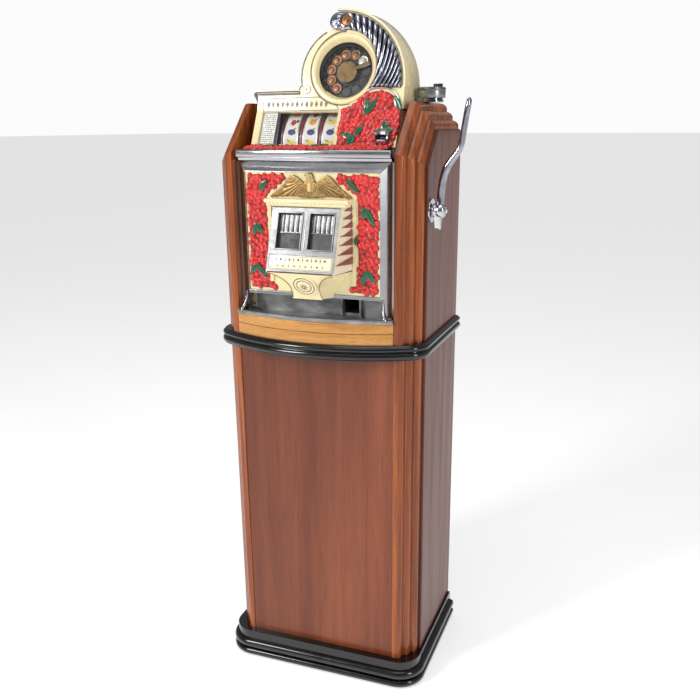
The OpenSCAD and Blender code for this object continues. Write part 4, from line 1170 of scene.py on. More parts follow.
def make_award():
    # card with a grid of small generic marks, and the bright glass edge strip beside it
    h = -5.0
    plate("award_card", F_reel, rrect(-141.8, -109.5, 7.6, 80, 1.0), h - 1.2, h, M["card"], bev=.3, slot="reel_strip")
    objs = []
    for r in range(15):
        z = 12 + r * 4.45
        for c in range(7):
            x = -137 + c * 3.9
            if (r * 7 + c * 5) % 9 == 0:
                continue
            k = ["olive", "moss", "ink"][(r // 2 + c) % 3] if c in (2, 3, 5) else "olive"
            w = 1.3 if c % 2 else 1.0
            objs.append(plate(f"am{r}_{c}", F_reel, [(x - w, z - 1.1), (x + w, z - 1.1), (x + w, z + 1.1), (x - w, z + 1.1)], h - .2, h + .22, PRINT[k], bev=.1))
    join("award_marks", objs, slot="reel_strip")
    prof = [(-109.4, -5.6), (-108.6, -3.4), (-106.6, -2.4), (-104.4, -2.6), (-102.8, -4.2), (-102.2, -7.0), (-109.4, -7.0)]
    zs = np.linspace(6.6, 80.5, 12)
    V = np.concatenate([F_reel(np.array([p[0] for p in prof]), np.full(len(prof), z), np.array([p[1] for p in prof])) for z in zs])
    m = len(prof)
    faces = [(i * m + j, i * m + (j + 1) % m, (i + 1) * m + (j + 1) % m, (i + 1) * m + j) for i in range(len(zs) - 1) for j in range(m)]
    faces += [tuple(range(m))[::-1], tuple((len(zs) - 1) * m + j for j in range(m))]
    mesh_obj("glass_edge_strip", V, faces, M["chrome_dark"], slot="chrome", angle=60)
    # fine grooves on the strip
    objs = []
    for x in (-107.4, -105.5, -103.8):
        objs.append(tube(f"gs{x}", F_reel(np.array([x, x]), np.array([7.5, 79.5]), np.array([-2.75, -2.75])), .28, M["steel_dark"], n=6))
    join("glass_strip_lines", objs, slot="steel")


make_award()


# ------------------------------------------------------------------ reels
RY, RZ, RR = -10., 1206., 74.
RX = [-76., -32.5, 11.]


def reel_pt(x, deg, r):
    t = math.radians(deg)
    return (x, RY - r * math.cos(t), RZ + r * math.sin(t))


def decal(x, deg, shape, up=.22):
    """small domed print on the strip: shape is a loop of (u across, v along the strip) in mm"""
    n = len(shape)
    cu, cv = np.mean(shape, 0)
    V = [reel_pt(x + cu, deg + math.degrees(cv / RR), RR + up * 1.6)]
    for k in (.55, 1.0):
        V += [reel_pt(x + cu + (u - cu) * k, deg + math.degrees((cv + (v - cv) * k) / RR), RR + (up * 1.4 if k < 1 else up)) for u, v in shape]
    V += [reel_pt(x + u, deg + math.degrees(v / RR), RR - .3) for u, v in shape]
    F = [(0, 1 + j, 1 + (j + 1) % n) for j in range(n)]
    for a in (1, 1 + n):
        F += [(a + j, a + (j + 1) % n, a + n + (j + 1) % n, a + n + j)[::-1] for j in range(n)]
    F.append(tuple(1 + 2 * n + j for j in range(n)))
    return V, F


def oval(cu, cv, a, b, n=20, rot=0.):
    t = np.arange(n) * 2 * pi / n
    c, s = math.cos(rot), math.sin(rot)
    p = np.stack([a * np.cos(t), b * np.sin(t)], 1)
    return np.stack([cu + c * p[:, 0] - s * p[:, 1], cv + s * p[:, 0] + c * p[:, 1]], 1)


SYM = {
    "plum": [("navy", oval(0, 0, 8.8, 6.6)), ("moss", oval(5.2, 6.6, 4.2, 1.6, 12, .5)), ("ink", oval(7.6, -1.6, 2.6, 1.2, 10, -.4))],
    "orange": [("orange", oval(0, 0, 8.0, 7.2)), ("green", oval(4.2, 6.6, 4.4, 1.9, 12, .4)), ("green", oval(-3.2, 7.0, 3.2, 1.5, 12, -.5))],
    "lemon": [("lemon", oval(0, 0, 9.2, 6.0)), ("lemon", oval(8.4, .4, 2.6, 1.8, 10)), ("green", oval(-5.5, 5.4, 4.6, 1.9, 12, -.4))],
    "bell": [("crimson", np.array([(-7.6, -5), (7.6, -5), (6.0, -2.4), (5.0, 2.5), (3.0, 6.2), (0, 7.6), (-3.0, 6.2), (-5.0, 2.5), (-6.0, -2.4)], float)),
             ("ink", oval(0, -6.4, 2.6, 1.8, 12)), ("ink", oval(8.6, 2.8, 3.0, 4.4, 12, -.4))],
    "cherry": [("crimson", oval(-4.4, -3.2, 4.4, 4.2)), ("crimson", oval(4.6, -2.0, 4.4, 4.2)), ("green", oval(1.0, 6.4, 6.0, 1.7, 12, .25)), ("ink", oval(-2.2, 2.4, .7, 4.4, 8, -.35)), ("ink", oval(3.4, 2.8, .7, 3.8, 8, .25))],
    "block": [("ink", np.array([(-9.5, -3.6), (9.5, -3.6), (9.5, 3.6), (-9.5, 3.6)], float)), ("crimson", np.array([(-9.5, 5.0), (9.5, 5.0), (9.5, 6.8), (-9.5, 6.8)], float)), ("crimson", np.array([(-9.5, -6.8), (9.5, -6.8), (9.5, -5.0), (-9.5, -5.0)], float))],
}
STRIPS = [
    ["plum", "bell", "orange", "cherry", "lemon", "plum", "orange", "block", "plum", "bell", "orange", "plum", "lemon", "cherry", "orange", "plum", "bell", "block", "plum", "lemon"],
    ["plum", "orange", "bell", "plum", "cherry", "lemon", "orange", "plum", "block", "bell", "orange", "cherry", "plum", "lemon", "bell", "orange", "plum", "cherry", "block", "lemon"],
    ["plum", "lemon", "orange", "bell", "plum", "lemon", "cherry", "orange", "block", "plum", "bell", "lemon", "orange", "plum", "bell", "lemon", "orange", "plum", "block", "lemon"],
]


def make_reels():
    for i, body in enumerate(["reel_left", "reel_middle", "reel_right"]):
        keys = list(PRINT)
        V, F, fm = [], [], []
        for k, s in enumerate(STRIPS[i]):
            deg = 24.0 + k * 18
            for col, shp in SYM[s]:
                v, f = decal(RX[i] + .8, deg, shp, .2 if col != "ink" else .3)
                o = len(V)
                V += v
                F += [tuple(o + q for q in g) for g in f]
                fm += [keys.index(col)] * len(f)
        mesh_obj(f"reel_print_{i + 1}", V, F, [PRINT[k] for k in keys], body=body, slot="reel_strip", fmat=fm, weld=False, angle=70)
        # paper strip with worn edge bands
        for sgn, nm in ((-1, "a"), (1, "b")):
            x0 = RX[i] + sgn * 15.6
            n = 120
            prof = [(x0 - .9, RR - .4), (x0 - .9, RR + .5), (x0 + .9, RR + .5), (x0 + .9, RR - .4)]
            W = [reel_pt(x, d, r) for d in np.arange(n) * 360 / n for x, r in prof]
            ff = [(a * 4 + j, a * 4 + (j + 1) % 4, ((a + 1) % n) * 4 + (j + 1) % 4, ((a + 1) % n) * 4 + j) for a in range(n) for j in range(4)]
            mesh_obj(f"reel_rim_{i + 1}{nm}", W, ff, M["steel"], body=body, slot="steel", angle=30)
    # fixed dividers between the reels: dark channel with a maroon crown
    for k, xc in enumerate([-98.0, -54.25, -10.75]):
        w = 3.6 if k else 2.6
        for nm, (xa, xb, ra, rb, mt) in {"crown": (xc - w * .62, xc + w * .62, 68, 74.0, "maroon"), "cheek": (xc - w, xc + w, 60, 70.5, "steel_dark")}.items():
            n = 40
            V = []
            for d in np.linspace(-14, 74, n):
                q = .9 if nm == "crown" else .1
                for x, r in ((xa, ra), (xa, rb - q), (xa + q, rb), (xb - q, rb), (xb, rb - q), (xb, ra)):
                    V.append(reel_pt(x, d, r))
            m = 6
            F = [(a * m + j, a * m + (j + 1) % m, (a + 1) * m + (j + 1) % m, (a + 1) * m + j) for a in range(n - 1) for j in range(m)]
            F += [tuple(range(m))[::-1], tuple((n - 1) * m + j for j in range(m))]
            mesh_obj(f"reel_divider_{nm}_{k + 1}", V, F, M[mt], slot="red_enamel" if nm == "crown" else "black_steel", angle=40)
    # black cheek panel behind the right edge of the window
    plate("window_baffle", F_reel, rect(29.8, 33.5, 4, 82), -60, -9.4, M["felt"], bev=.3, slot="black_steel")


make_reels()


# ------------------------------------------------------------------ crest: dish, scroll band, groove
def make_crest():
    cx, cz = 33., 1280 + 82 * math.cos(L2)
    # dish and its rounded scroll band, eccentric rings from the outer foot to the glass
    def ring(t):
        """t 0..1 over the section: returns centre x, centre z (on face z'), radius, height"""
        pts = [(.0, 34.0, 83.5, 73.6, -.3), (.05, 34, 83.5, 73.2, 1.2), (.12, 34, 83.5, 71.8, 2.4), (.2, 33.8, 83.6, 69.6, 3.1), (.28, 33.6, 83.6, 67.0, 3.3), (.36, 33.4, 83.5, 64.8, 2.8), (.44, 33.2, 83.4, 63.0, 1.4),
               (.55, 33.1, 83.0, 60.8, -1.8), (.68, 33.0, 82.6, 58.2, -5.8), (.8, 33.0, 82.3, 56.0, -9.2), (.9, 33.0, 82.1, 54.4, -11.6), (.96, 33.0, 82.0, 53.4, -12.5), (1., 33., 82., 53.0, -12.6)]
        k = [p[0] for p in pts]
        return [np.interp(t, k, [p[j] for p in pts]) for j in (1, 2, 3, 4)]
    n, m = 144, 44
    V, C = [], []
    th = np.arange(n) * 2 * pi / n
    for i in range(m):
        t = i / (m - 1)
        x0, z0, r, h = ring(t)
        rr = np.full(n, r)
        # narrower on the right, where the horn crowds it
        if t < .36:
            w = (.36 - t) / .36
            deg = (np.degrees(th) + 360) % 360
            right = np.clip(np.cos(th - math.radians(8)), 0, 1) ** .8
            rr = r - right * 5.2 * w
        V.append(F_crest(x0 + rr * np.cos(th), z0 + rr * np.sin(th), np.full(n, h)))
        # painted shade: darker at the outer foot of the dish and at the glass edge
        C.append(np.full(n, .15 if t < .02 or t > .97 else (.45 if t < .05 else 1.)))
    # back of the ring
    for x0, z0, r, h in ((33, 82, 53.0, -13.6), (33, 82, 60.5, -7.5), (33.6, 83, 63.2, -6.6), (33.6, 83, 63.2, -.4)):
        V.append(F_crest(x0 + r * np.cos(th), z0 + r * np.sin(th), np.full(n, h)))
        C.append(np.full(n, .5))
    R = m + 4
    V = np.concatenate(V)
    F = [(i * n + j, i * n + (j + 1) % n, ((i + 1) % R) * n + (j + 1) % n, ((i + 1) % R) * n + j) for i in range(R) for j in range(n)]
    mesh_obj("dial_dish", V, F, M["crest_cream"], slot="cream_enamel", painted_shading=np.concatenate(C), replaces=["dial_bezel"], angle=50)
    # dark groove line round the scroll: from the hook at the top, round the left, to the lower right; the dark line is
    # partly painted shadow at the foot of the raised band and partly worn paint
    P = [(27.0, 163.6), (30.6, 162.4), (31.4, 159.6), (28.6, 157.6)]
    for a in np.linspace(96, 285, 64):
        rr = 74.6 + max(0, (a - 96) / 189) * 0 + (2.0 if a < 110 else 2.0 * max(0, (150 - a) / 40))
        P.append((34 + rr * math.cos(math.radians(a)), 83.5 + rr * math.sin(math.radians(a)) * 1.0))
    P = np.array(P)
    for _ in range(2):
        P[1:-1] = .5 * P[1:-1] + .25 * (P[:-2] + P[2:])
    rad = np.interp(np.arange(len(P)), [0, 3, 12, len(P) - 14, len(P) - 1], [1.0, 1.5, 1.75, 1.75, .6])
    tube("scroll_groove", F_crest(P[:, 0], P[:, 1], np.full(len(P), .1)), rad, M["line"], n=10, slot="black_steel")
    # thin worn rim round the left shoulder of the crest, front edge
    A = arc(30, 1352, 90.6, 118, 196, 60)
    B = np.array([(-61.0, 1326), (-63, 1319)])
    Q = np.concatenate([A, B])
    tube("crest_rim_left", F_cr(Q[:, 0], Q[:, 1], np.full(len(Q), -.4)), 1.7, M["line"], n=8, slot="black_steel")
    A = arc(12, 1325, 152.6, 93, -6, 110)
    tube("crest_rim_right", F_cr(A[:, 0], A[:, 1], np.full(len(A), .0)), 1.1, M["cream_pale"], n=10, slot="cream_enamel")
    A = arc(12, 1325, 148.4, 92, 0, 110)
    tube("crest_rim_inner", F_cr(A[:, 0], A[:, 1], np.full(len(A), .2)), 1.0, M["line"], n=8, slot="black_steel")
    # small round badge with a generic star of petals
    bx_, bz = -46.8, 42.5
    lathe("crest_badge", [(0, -.6), (9.4, -.6), (9.4, .4), (8.9, 1.1), (8.0, 1.3), (7.2, .9), (6.8, .35), (0, .35)], F_crest, bx_, bz, M["cream"], n=48, slot="cream_enamel")
    objs = [tube("bring", F_crest(*(lambda A: (A[:, 0], A[:, 1]))(arc(bx_, bz, 9.3, 0, 360, 49)), np.full(49, .3)), .55, M["line"], n=6, cap=False)]
    for k in range(6):
        t = k * pi / 3 + .3
        c, s = math.cos(t), math.sin(t)
        objs.append(plate(f"bp{k}", F_crest, [(bx_ + 1.0 * c - .9 * s, bz + 1.0 * s + .9 * c), (bx_ + 4.6 * c, bz + 4.6 * s), (bx_ + 1.0 * c + .9 * s, bz + 1.0 * s - .9 * c)], 0, .9, M["line"], bev=.1))
    join("badge_star", objs, slot="black_steel")


make_crest()


def make_horn():
    out = arc(12, 1325, 146.6, -1.6, 90, 90).tolist()
    tip = arc(10, 1453, 17.4, 92, 262, 50).tolist()
    inn = arc(30, 1363, 71.8, 99, -35.6, 90).tolist()
    loop = out + tip + inn

    def sv(x, z):
        do = np.hypot(x - 12, z - 1325)
        di = np.hypot(x - 30, z - 1363)
        a, b = np.clip(di - 71.8, .01, None), np.clip(146.6 - do, .01, None)
        v = a / (a + b)
        so = (90 - np.degrees(np.arctan2(z - 1325, x - 12))) / 90
        si = (95 - np.degrees(np.arctan2(z - 1363, x - 30))) / 131
        s = (1 - v) * si + v * so
        return s, v

    N = 15

    def flute(x, z):
        s, v = sv(x, z)
        se = s - (.03 + .44 * s * s) * (1 - v) ** 1.15
        ph = (se - .075) * N
        lob = np.abs(np.sin(pi * ph)) ** .62
        k = np.clip((se - .055) / .03, 0, 1)
        return s, v, lob, k

    def hf(x, z, sd):
        s, v, lob, k = flute(x, z)
        body = 2.0 + 6.6 * np.sqrt(np.clip(4 * v * (1 - v), 0, 1)) * np.interp(s, [0, .2, .6, 1], [.8, .9, 1.1, 1.15])
        hb = body + k * (lob - .6) * 6.2 * np.clip(sd / 3, .25, 1)
        d = np.hypot(x - 10, z - 1453)
        ht = 3 + 8.6 * np.sqrt(np.clip(1 - (d / 19.5) ** 2, 0, 1))
        w = np.clip((26 - x) / 14, 0, 1)
        h = hb * (1 - w) + ht * w
        # curled relief on the tip
        h += w * .9 * np.sin(np.arctan2(z - 1453, x - 12) * 2 + d * .75)
        c = np.hypot(x - 30.5, z - 1453.8)
        h = np.where(c < 14.4, np.minimum(h, 5.4), h)
        return np.clip(h * (.25 + .75 * np.sqrt(np.clip(sd / 5, 0, 1))), .3, 13.6)

    # painted reflection and shade: bright along each flute's crest, near black in the creases, dimmer near the outline
    def cv(x, z, sd, h):
        s, v, lob, k = flute(x, z)
        return np.where(k > .3, .04 + .96 * lob ** 2.6, .7) * (.5 + .5 * np.clip(sd / 2.2, 0, 1))
    relief("horn_fluted", [loop], hf, .8, F_cr, -.4, M["horn"], painted_shading_fun=cv, slot="chrome", replaces=["horn"], angle=80)
    # coin set in the horn, with its chrome seat
    lathe("horn_coin_seat", [(0, 3.4), (14.2, 3.4), (14.6, 6.6), (13.8, 8.6), (12.6, 8.9), (12.0, 7.6), (11.6, 5.2), (0, 5.2)], F_cr, 30.5, 1453.8, M["chrome"], n=56, slot="chrome")
    lathe("horn_coin", [(0, 4.8), (11.2, 4.8), (11.2, 6.6), (10.6, 7.1), (9.9, 6.9), (9.5, 6.3), (6.0, 6.4), (4.6, 7.2), (2.2, 7.5), (0, 7.5)], F_cr, 30.5, 1453.8, M["bronze_coin"], n=48, slot="brass")
    # bright bead where the horn meets the fruit
    P = np.array([(84, 1313.6), (92, 1318.6), (104, 1321.6), (118, 1322), (132, 1320), (146, 1313), (157, 1300), (163.5, 1285)])
    tube("horn_foot_bead", F_cr(P[:, 0], P[:, 1], np.full(len(P), 2.4)), [1.2, 2.1, 2.3, 2.3, 2.3, 2.2, 1.8, 1.0], M["chrome"], n=12, slot="chrome")


make_horn()


# ------------------------------------------------------------------ coin dial
def make_dial():
    cx, cz = 33., 82.
    D = lambda d: -d   # depth behind the crest face
    # dark dished disc with tokens round its edge, turns with the wheel
    objs = [lathe("w0", [(4.2, D(31)), (16, D(31)), (16, D(27)), (52.6, D(27)), (52.8, D(20.4)), (51.0, D(20.0)), (50.2, D(21.6)), (49.6, D(24.6)), (27, D(24.4)), (24.6, D(21.6)), (13.5, D(21.4)), (12, D(19.6)), (4.2, D(19.6))],
                  F_crest, cx, cz, M["steel_dark"], n=96)]
    nco = 11
    for i in range(nco):
        a = math.radians(38 + i * 360 / nco)
        x, z = cx + 38.6 * math.cos(a), cz + 38.6 * math.sin(a)
        silver = i in (0,)
        mt = M["silver_coin"] if silver else M["bronze_coin"]
        if i in (7, 8, 9, 10):
            # empty seats: only the dark seat rings
            objs.append(lathe(f"seat{i}", [(10.9, D(24.6)), (10.9, D(23.4)), (10.2, D(23.0)), (9.5, D(23.6)), (9.5, D(24.6)), (10.9, D(24.6))], F_crest, x, z, M["steel_dark"], n=32))
            continue
        objs.append(lathe(f"token{i}", [(0, D(24.4)), (10.7, D(24.4)), (10.9, D(21.9)), (10.3, D(21.3)), (9.4, D(21.4)), (9.0, D(22.0)), (7.4, D(22.0)), (6.8, D(21.5)), (3.0, D(21.3)), (0, D(21.3))], F_crest, x, z, mt, n=40))
        if silver:
            for q in range(7):
                t = q * 2 * pi / 7
                objs.append(lathe(f"tk{q}", [(0, D(21.6)), (1.5, D(21.6)), (1.2, D(20.9)), (0, D(20.7))], F_crest, x + 4.6 * math.cos(t), z + 4.6 * math.sin(t), M["silver_coin"], n=14))
    # small studs on the rim
    for i in range(22):
        a = 2 * pi * i / 22
        objs.append(lathe(f"stud{i}", [(0, D(21)), (1.1, D(21)), (1.0, D(19.6)), (.5, D(19.2)), (0, D(19.1))], F_crest, cx + 51.6 * math.cos(a), cz + 51.6 * math.sin(a), M["silver_coin"], n=12))
    w = join("token_wheel", objs, body="dial_wheel", slot="black_steel")
    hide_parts("escalator_wheel")
    # fixed medallion: raised rings and a generic rosette
    lathe("dial_medallion", [(0, D(18.4)), (21.4, D(18.4)), (21.6, D(15.6)), (20.9, D(14.6)), (19.6, D(14.4)), (18.8, D(15.0)), (17.0, D(15.1)), (16.4, D(14.7)), (15.6, D(14.7)), (15.0, D(15.2)), (0, D(14.9))],
          F_crest, cx, cz, M["old_brass"], n=72, slot="brass")
    objs = []
    for k in range(12):
        t = k * pi / 6
        for r0, r1, wd in ((4.2, 9.2, 1.5), (9.8, 14.0, 1.1)):
            tt = t if r0 < 5 else t + pi / 12
            c, s = math.cos(tt), math.sin(tt)
            objs.append(plate(f"ro{k}{r0}", F_crest, [(cx + r0 * c, cz + r0 * s), (cx + (r0 + r1) / 2 * c + wd * s, cz + (r0 + r1) / 2 * s - wd * c), (cx + r1 * c, cz + r1 * s), (cx + (r0 + r1) / 2 * c - wd * s, cz + (r0 + r1) / 2 * s + wd * c)], D(15.4), D(14.45), M["old_brass"], bev=.3))
    objs.append(lathe("roc", [(0, D(15.4)), (3.6, D(15.4)), (3.3, D(14.5)), (2.0, D(14.2)), (0, D(14.1))], F_crest, cx, cz, M["old_brass"], n=32))
    join("medallion_rosette", objs, slot="brass")
    # pointer: folded bright strip reaching to the rim at the upper right
    a = math.radians(22)
    c, s = math.cos(a), math.sin(a)
    prof = [(-3.6, D(18.6)), (-3.6, D(17.2)), (-.6, D(15.4)), (.6, D(15.4)), (3.6, D(17.2)), (3.6, D(18.6))]
    V = []
    for r, k in ((20.5, .55), (26, .8), (34, 1.0), (46, 1.15), (51.2, 1.1)):
        for w_, h in prof:
            V.append(F_crest(cx + r * c - w_ * k * s, cz + r * s + w_ * k * c, h))
    m = 6
    F = [(i * m + j, i * m + (j + 1) % m, (i + 1) * m + (j + 1) % m, (i + 1) * m + j) for i in range(4) for j in range(m)]
    F += [tuple(range(m))[::-1], tuple(4 * m + j for j in range(m))]
    mesh_obj("dial_pointer", V, F, M["chrome"], slot="steel", angle=30)
    # dark band round the foot of the dish: painted shade on the bowl's inner wall
    lathe("dial_shade_band", [(57.9, D(6.5)), (57.6, D(5.9)), (57.0, D(6.6)), (55.4, D(9.5)), (53.9, D(11.7)), (52.6, D(12.3)), (52.4, D(12.9)), (54.2, D(12.6)), (56.2, D(9.6)), (57.9, D(6.5))],
          F_crest, 33.3, 81.4, M["steel_dark"], n=96, slot="black_steel")
    # dark retaining ring just inside the glass edge
    lathe("dial_seat_ring", [(55.4, D(15.0)), (55.4, D(19.0)), (53.4, D(19.0)), (52.8, D(17.0)), (53.4, D(15.0)), (55.4, D(15.0))], F_crest, cx, cz, M["steel_dark"], n=96, slot="black_steel")


make_dial()


# ------------------------------------------------------------------ handle
def make_handle():
    # smooth path through the arm and grip, (x outside the side, z above the pivot, radius, flattening)
    K = np.array([[17.5, -3, 9.4, 1.0], [18.5, 10, 8.6, 1.0], [19.6, 28, 7.9, .96], [21.4, 48, 7.8, .95], [24.6, 66, 7.9, .95], [30.5, 84, 7.9, .95], [39.5, 98, 7.6, .96],
                  [49, 110, 7.2, .98], [55.8, 121, 6.8, 1.0], [59.6, 133, 6.7, 1.0], [62.2, 150, 6.9, 1.05], [65.2, 170, 7.2, 1.12], [68.4, 190, 7.3, 1.16], [70.8, 204, 7.0, 1.16], [72.0, 211, 5.6, 1.12], [72.6, 214.6, 3.2, 1.05], [72.8, 216, .6, 1]])
    t = np.linspace(0, len(K) - 1, 120)
    idx = np.arange(len(K))

    def cr(col):
        P = K[:, col]
        i = np.clip(np.floor(t).astype(int), 0, len(K) - 2)
        f = t - i
        p0, p1, p2, p3 = P[np.clip(i - 1, 0, None)], P[i], P[i + 1], P[np.clip(i + 2, None, len(K) - 1)]
        return .5 * (2 * p1 + (p2 - p0) * f + (2 * p0 - 5 * p1 + 4 * p2 - p3) * f ** 2 + (3 * p1 - p0 - 3 * p2 + p3) * f ** 3)
    x, z, r, e = cr(0), cr(1), np.clip(cr(2), .4, None), cr(3)
    pts = np.stack([230 + x, np.full_like(x, -79.), 1084 + z], 1)
    ell = np.stack([1.0 * e, 1.0 / e * .92], 1)
    o = tube("handle_arm", pts, r, M["chrome_dark"], n=28, ell=ell, body="handle", slot="chrome", replaces=["pull_handle"], angle=70)
    # hub: turned boss about the shaft axis
    prof = [(0, 5.0), (13.2, 5.0), (14.4, 6.2), (14.6, 9), (14.0, 11.2), (12.8, 12.2), (13.6, 13.4), (14.6, 15.6), (14.8, 20), (14.2, 24.6), (12.6, 27.6), (10.2, 29.4), (7.4, 30.4), (6.8, 29.6), (5.6, 29.4), (5.2, 31.6), (4.2, 33.2), (2.2, 34.2), (0, 34.4)]
    n = 56
    th = np.arange(n) * 2 * pi / n
    V = np.concatenate([np.stack([np.full(n, 230 + h), -79 + rr * np.cos(th), 1084 + rr * np.sin(th)], 1) for rr, h in prof])
    F = [(i * n + j, i * n + (j + 1) % n, (i + 1) * n + (j + 1) % n, (i + 1) * n + j) for i in range(len(prof) - 1) for j in range(n)]
    mesh_obj("handle_hub", V, F, M["chrome"], body="handle", slot="chrome", angle=50)
    # shaft, inner crank
    P = np.array([[117, -79, 1084], [150, -79, 1084], [190, -79, 1084], [236, -79, 1084]], float)
    tube("handle_shaft", P, 8.0, M["steel"], n=32, body="handle", slot="steel")
    prof = [(-11, 4), (-11.3, -3), (-7.4, -12), (-7.2, -28), (-4, -31.5), (4, -31.5), (7.2, -28), (7.4, -12), (11.3, -3), (11, 4), (7.5, 9), (0, 11.5), (-7.5, 9)]
    Fx = lambda y, zz, h: np.stack(np.broadcast_arrays(np.asarray(h, float) + 118, np.asarray(y, float) - 79, np.asarray(zz, float) + 1084), -1)
    plate("handle_crank", Fx, prof, 0, 8, M["steel"], bev=.8, body="handle", slot="steel")
    # drop-shaped lug under the hub
    Lg = [(-10.6, -4), (-9.4, -14), (-6.6, -26), (-4.6, -33), (-2.4, -37.2), (0, -38.4), (2.4, -37.2), (4.6, -33), (6.6, -26), (9.4, -14), (10.6, -4)]
    Fl = lambda y, zz, h: np.stack(np.broadcast_arrays(np.asarray(h, float) + 239.5, np.asarray(y, float) - 79, np.asarray(zz, float) + 1084), -1)
    o = plate("handle_lug", Fl, Lg, 0, 12.4, M["chrome"], bev=4.2, body="handle", slot="chrome")


make_handle()


# ------------------------------------------------------------------ small hardware
def screw(name, p, n_, r, mat, body="cabinet", turn=0.4):
    """slotted round-head screw at p (mm), pointing along n_"""
    n_ = np.array(n_, float)
    n_ /= np.linalg.norm(n_)
    a = np.cross(n_, [0, 0, 1.]) if abs(n_[2]) < .9 else np.cross(n_, [1., 0, 0])
    a /= np.linalg.norm(a)
    b = np.cross(n_, a)
    k = 24
    th = np.arange(k) * 2 * pi / k
    V = []
    prof = [(1., -.6), (1., .12), (.92, .3), (.7, .48), (.4, .58)]
    for rr, h in prof:
        V += [np.array(p) + r * rr * (math.cos(t) * a + math.sin(t) * b) + n_ * h * r for t in th]
    m = len(prof)
    F = [(i * k + j, i * k + (j + 1) % k, (i + 1) * k + (j + 1) % k, (i + 1) * k + j) for i in range(m - 1) for j in range(k)]
    F += [tuple(range(k))[::-1], tuple((m - 1) * k + j for j in range(k))]
    head = mesh_obj(name, V, F, mat, body=body)
    # dark slot across the head: painted shade standing in for the recess
    c, s = math.cos(turn), math.sin(turn)
    u, v = c * a + s * b, -s * a + c * b
    q = [np.array(p) + r * (x * u + y * v) + n_ * r * h for x, y in ((-.82, -.13), (.82, -.13), (.82, .13), (-.82, .13)) for h in (.3, .6)]
    V = [q[i] for i in (0, 2, 4, 6, 1, 3, 5, 7)]
    slot_ = mesh_obj(name + "s", V, [(3, 2, 1, 0), (4, 5, 6, 7), (0, 1, 5, 4), (1, 2, 6, 5), (2, 3, 7, 6), (3, 0, 4, 7)], M["felt"], body=body)
    return [head, slot_]


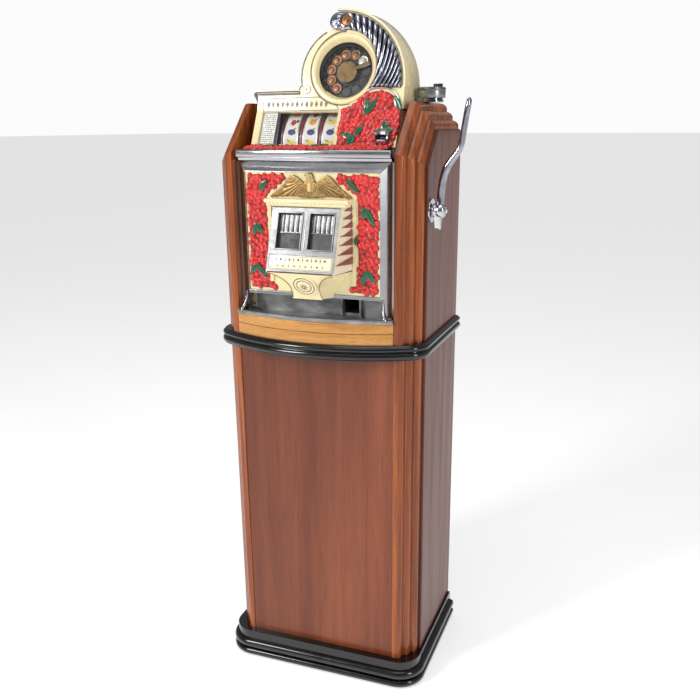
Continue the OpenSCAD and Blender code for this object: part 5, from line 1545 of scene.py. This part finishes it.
def make_hardware():
    # hinge screws on the fixed leaves and on the moving leaves, both doors
    for tag, x0, zs, body in (("stand", -170.5, (196, 645), "stand_door"), ("case", -162.5, (940, 1170), "case_door")):
        fixed, moving = [], []
        for i, zc in enumerate(zs):
            for k, dz in enumerate((-21, 0, 21)):
                fixed += screw(f"sf{tag}{i}{k}", (x0 - 15, 159.9, zc + dz), (0, 1, 0), 2.6, M["steel"], turn=.3 + k)
                moving += screw(f"sm{tag}{i}{k}", (x0 + 15, 159.9, zc + dz), (0, 1, 0), 2.6, M["steel"], body=body, turn=.9 + k)
        join(f"hinge_screws_fixed_{tag}", fixed, slot="steel")
        join(f"hinge_screws_{tag}_door", moving, body=body, slot="steel")
    # cream strip with its bolt at the left end of the tray, on its back wall
    Fe = Frame((0, -122.2, 0), 0)
    plate("tray_end_strip", Fe, rrect(-160.6, -150, 870.4, 906.5, 1.0), -.4, 1.8, M["cream"], bev=.5, slot="cream_enamel")
    join("tray_strip_bolt", screw("tsb", (-155.4, -124.4, 876), (0, -1, .1), 3.4, M["brass"]), slot="brass")
    # the casting flares out from the foot of the frame to the ends of the tray lip
    for sgn, tag in ((-1, "left"), (1, "right")):
        P = np.array([(sgn * 154, -157.2, 911), (sgn * 154.5, -157.8, 900), (sgn * 156, -160, 889), (sgn * 158.8, -164, 878.5), (sgn * 162, -168.2, 871.5), (sgn * 164.5, -170.2, 867.5)])
        t = np.linspace(0, 5, 26)
        Q = np.stack([np.interp(t, np.arange(6), P[:, k]) for k in range(3)], 1)
        for _ in range(3):
            Q[1:-1] = .5 * Q[1:-1] + .25 * (Q[:-2] + Q[2:])
        tube("tray_flare_" + tag, Q, np.interp(t, [0, 1.5, 4, 5], [2.2, 3.4, 4.4, 3.2]), M["alu"], n=14, ell=(1.3, .9), slot="polished_aluminium")
    Fr = F_reel
    lathe("coin_cup_face", [(0, -3.4), (17.6, -3.4), (17.8, -1.4), (16.6, -.2), (13, 1.0), (7, 2.0), (0, 2.4)], Fr, 134, 20, M["chrome"], n=56, slot="chrome")
    # dark mouth of the cup: painted shade for its deep inside
    plate("coin_cup_mouth", Fr, rrect(122.5, 145.5, 11.5, 18.5, 3.2), -1, 2.5, M["felt"], bev=.4, slot="black_steel")
    plate("coin_cup_lip", Fr, rrect(121.5, 146.5, 8.2, 11.6, 1.6), -1, 3.6, M["chrome"], bev=.9, slot="chrome")
    # coin head: raised cap ring, one slot cheek, two screws
    Ft = lambda x, y, h: np.stack(np.broadcast_arrays(np.asarray(x, float), np.asarray(y, float), np.asarray(h, float) + 1323), -1)
    lathe("coin_head_neck", [(0, -28.6), (23.5, -28.6), (24.4, -27.6), (24.4, -25.6), (22.6, -24.4), (22.6, -22), (25, -20.4), (25, -19.6), (0, -19.6)], Ft, 200, 20, M["chrome_dark"], n=64, slot="chrome")
    lathe("coin_head_rim", [(28.9, -7), (29.4, -6), (29.4, -1.2), (28.6, .2), (27.2, .6), (25.8, .3), (25.4, -.4), (25.4, -7), (28.9, -7)], Ft, 199, 20, M["pewter"], n=80, slot="polished_aluminium")
    for k, x in enumerate((190.8,)):
        plate(f"coin_slot_cheek_{k}", Ft, rrect(x - 1.8, x + 1.8, 5, 35, 1.6), -.4, 1.2, M["steel_dark"], bev=.6, slot="black_steel")
    join("coin_head_screws", screw("ch1", (184, 20, 1323.2), (0, 0, 1), 2.6, M["steel"], turn=.2) + screw("ch2", (206, 38, 1323.2), (0, 0, 1), 2.6, M["steel"], turn=1.3), slot="steel")
    # key slots in the two locks
    for tag, x, z, body in (("stand", 140, 392.5, "stand_lock"), ("case", 132, 1055, "case_lock")):
        prof = [(11.9, 0), (11.9, 4.4), (11.0, 5.3), (9.4, 5.6), (8.6, 5.0), (6.2, 4.9), (5.6, 5.5), (2.0, 5.7), (0, 5.7)]
        n = 48
        th = np.arange(n) * 2 * pi / n
        V = np.concatenate([np.stack([x + r * np.cos(th), np.full(n, 158 + h), z + r * np.sin(th)], 1) for r, h in [(0, 0)] + prof])
        R = len(prof) + 1
        F = [(i * n + j, i * n + (j + 1) % n, (i + 1) * n + (j + 1) % n, (i + 1) * n + j) for i in range(R - 1) for j in range(n)]
        a = mesh_obj("lk" + tag, V, F, M["brass"], body=body)
        # dark key slot: painted shade standing in for the keyhole
        q = [(x + dx, 158 + y, z + dz) for dx, dz in ((-.9, -4), (.9, -4), (.9, 4), (-.9, 4)) for y in (5.2, 5.95)]
        V = [q[i] for i in (0, 2, 4, 6, 1, 3, 5, 7)]
        b = mesh_obj("lks" + tag, V, [(3, 2, 1, 0), (4, 5, 6, 7), (0, 1, 5, 4), (1, 2, 6, 5), (2, 3, 7, 6), (3, 0, 4, 7)], M["felt"], body=body)
        join(f"lock_face_{tag}", [a, b], body=body, slot="brass")


make_hardware()


# ------------------------------------------------------------------ floor
def make_floor():
    me = bpy.data.meshes.new("floor")
    me.from_pydata([(-90, -30, 0), (90, -30, 0), (90, 140, 0), (-90, 140, 0)], [], [(0, 1, 2, 3)])
    m, nt, b = new_mat("pale_floor", (.93, .93, .93), .55, spec=.2)
    n1 = noise(nt, obj_co(nt), 3, 3, .5)
    nt.links.new(ramp(nt, n1, [(.3, (.92, .92, .92)), (.7, (.95, .95, .95))]), b.inputs["Base Color"])
    b.inputs["Emission Color"].default_value = (1, 1, 1, 1)
    b.inputs["Emission Strength"].default_value = .5
    me.materials.append(m)
    o = bpy.data.objects.new("floor", me)
    scene.collection.objects.link(o)


make_floor()
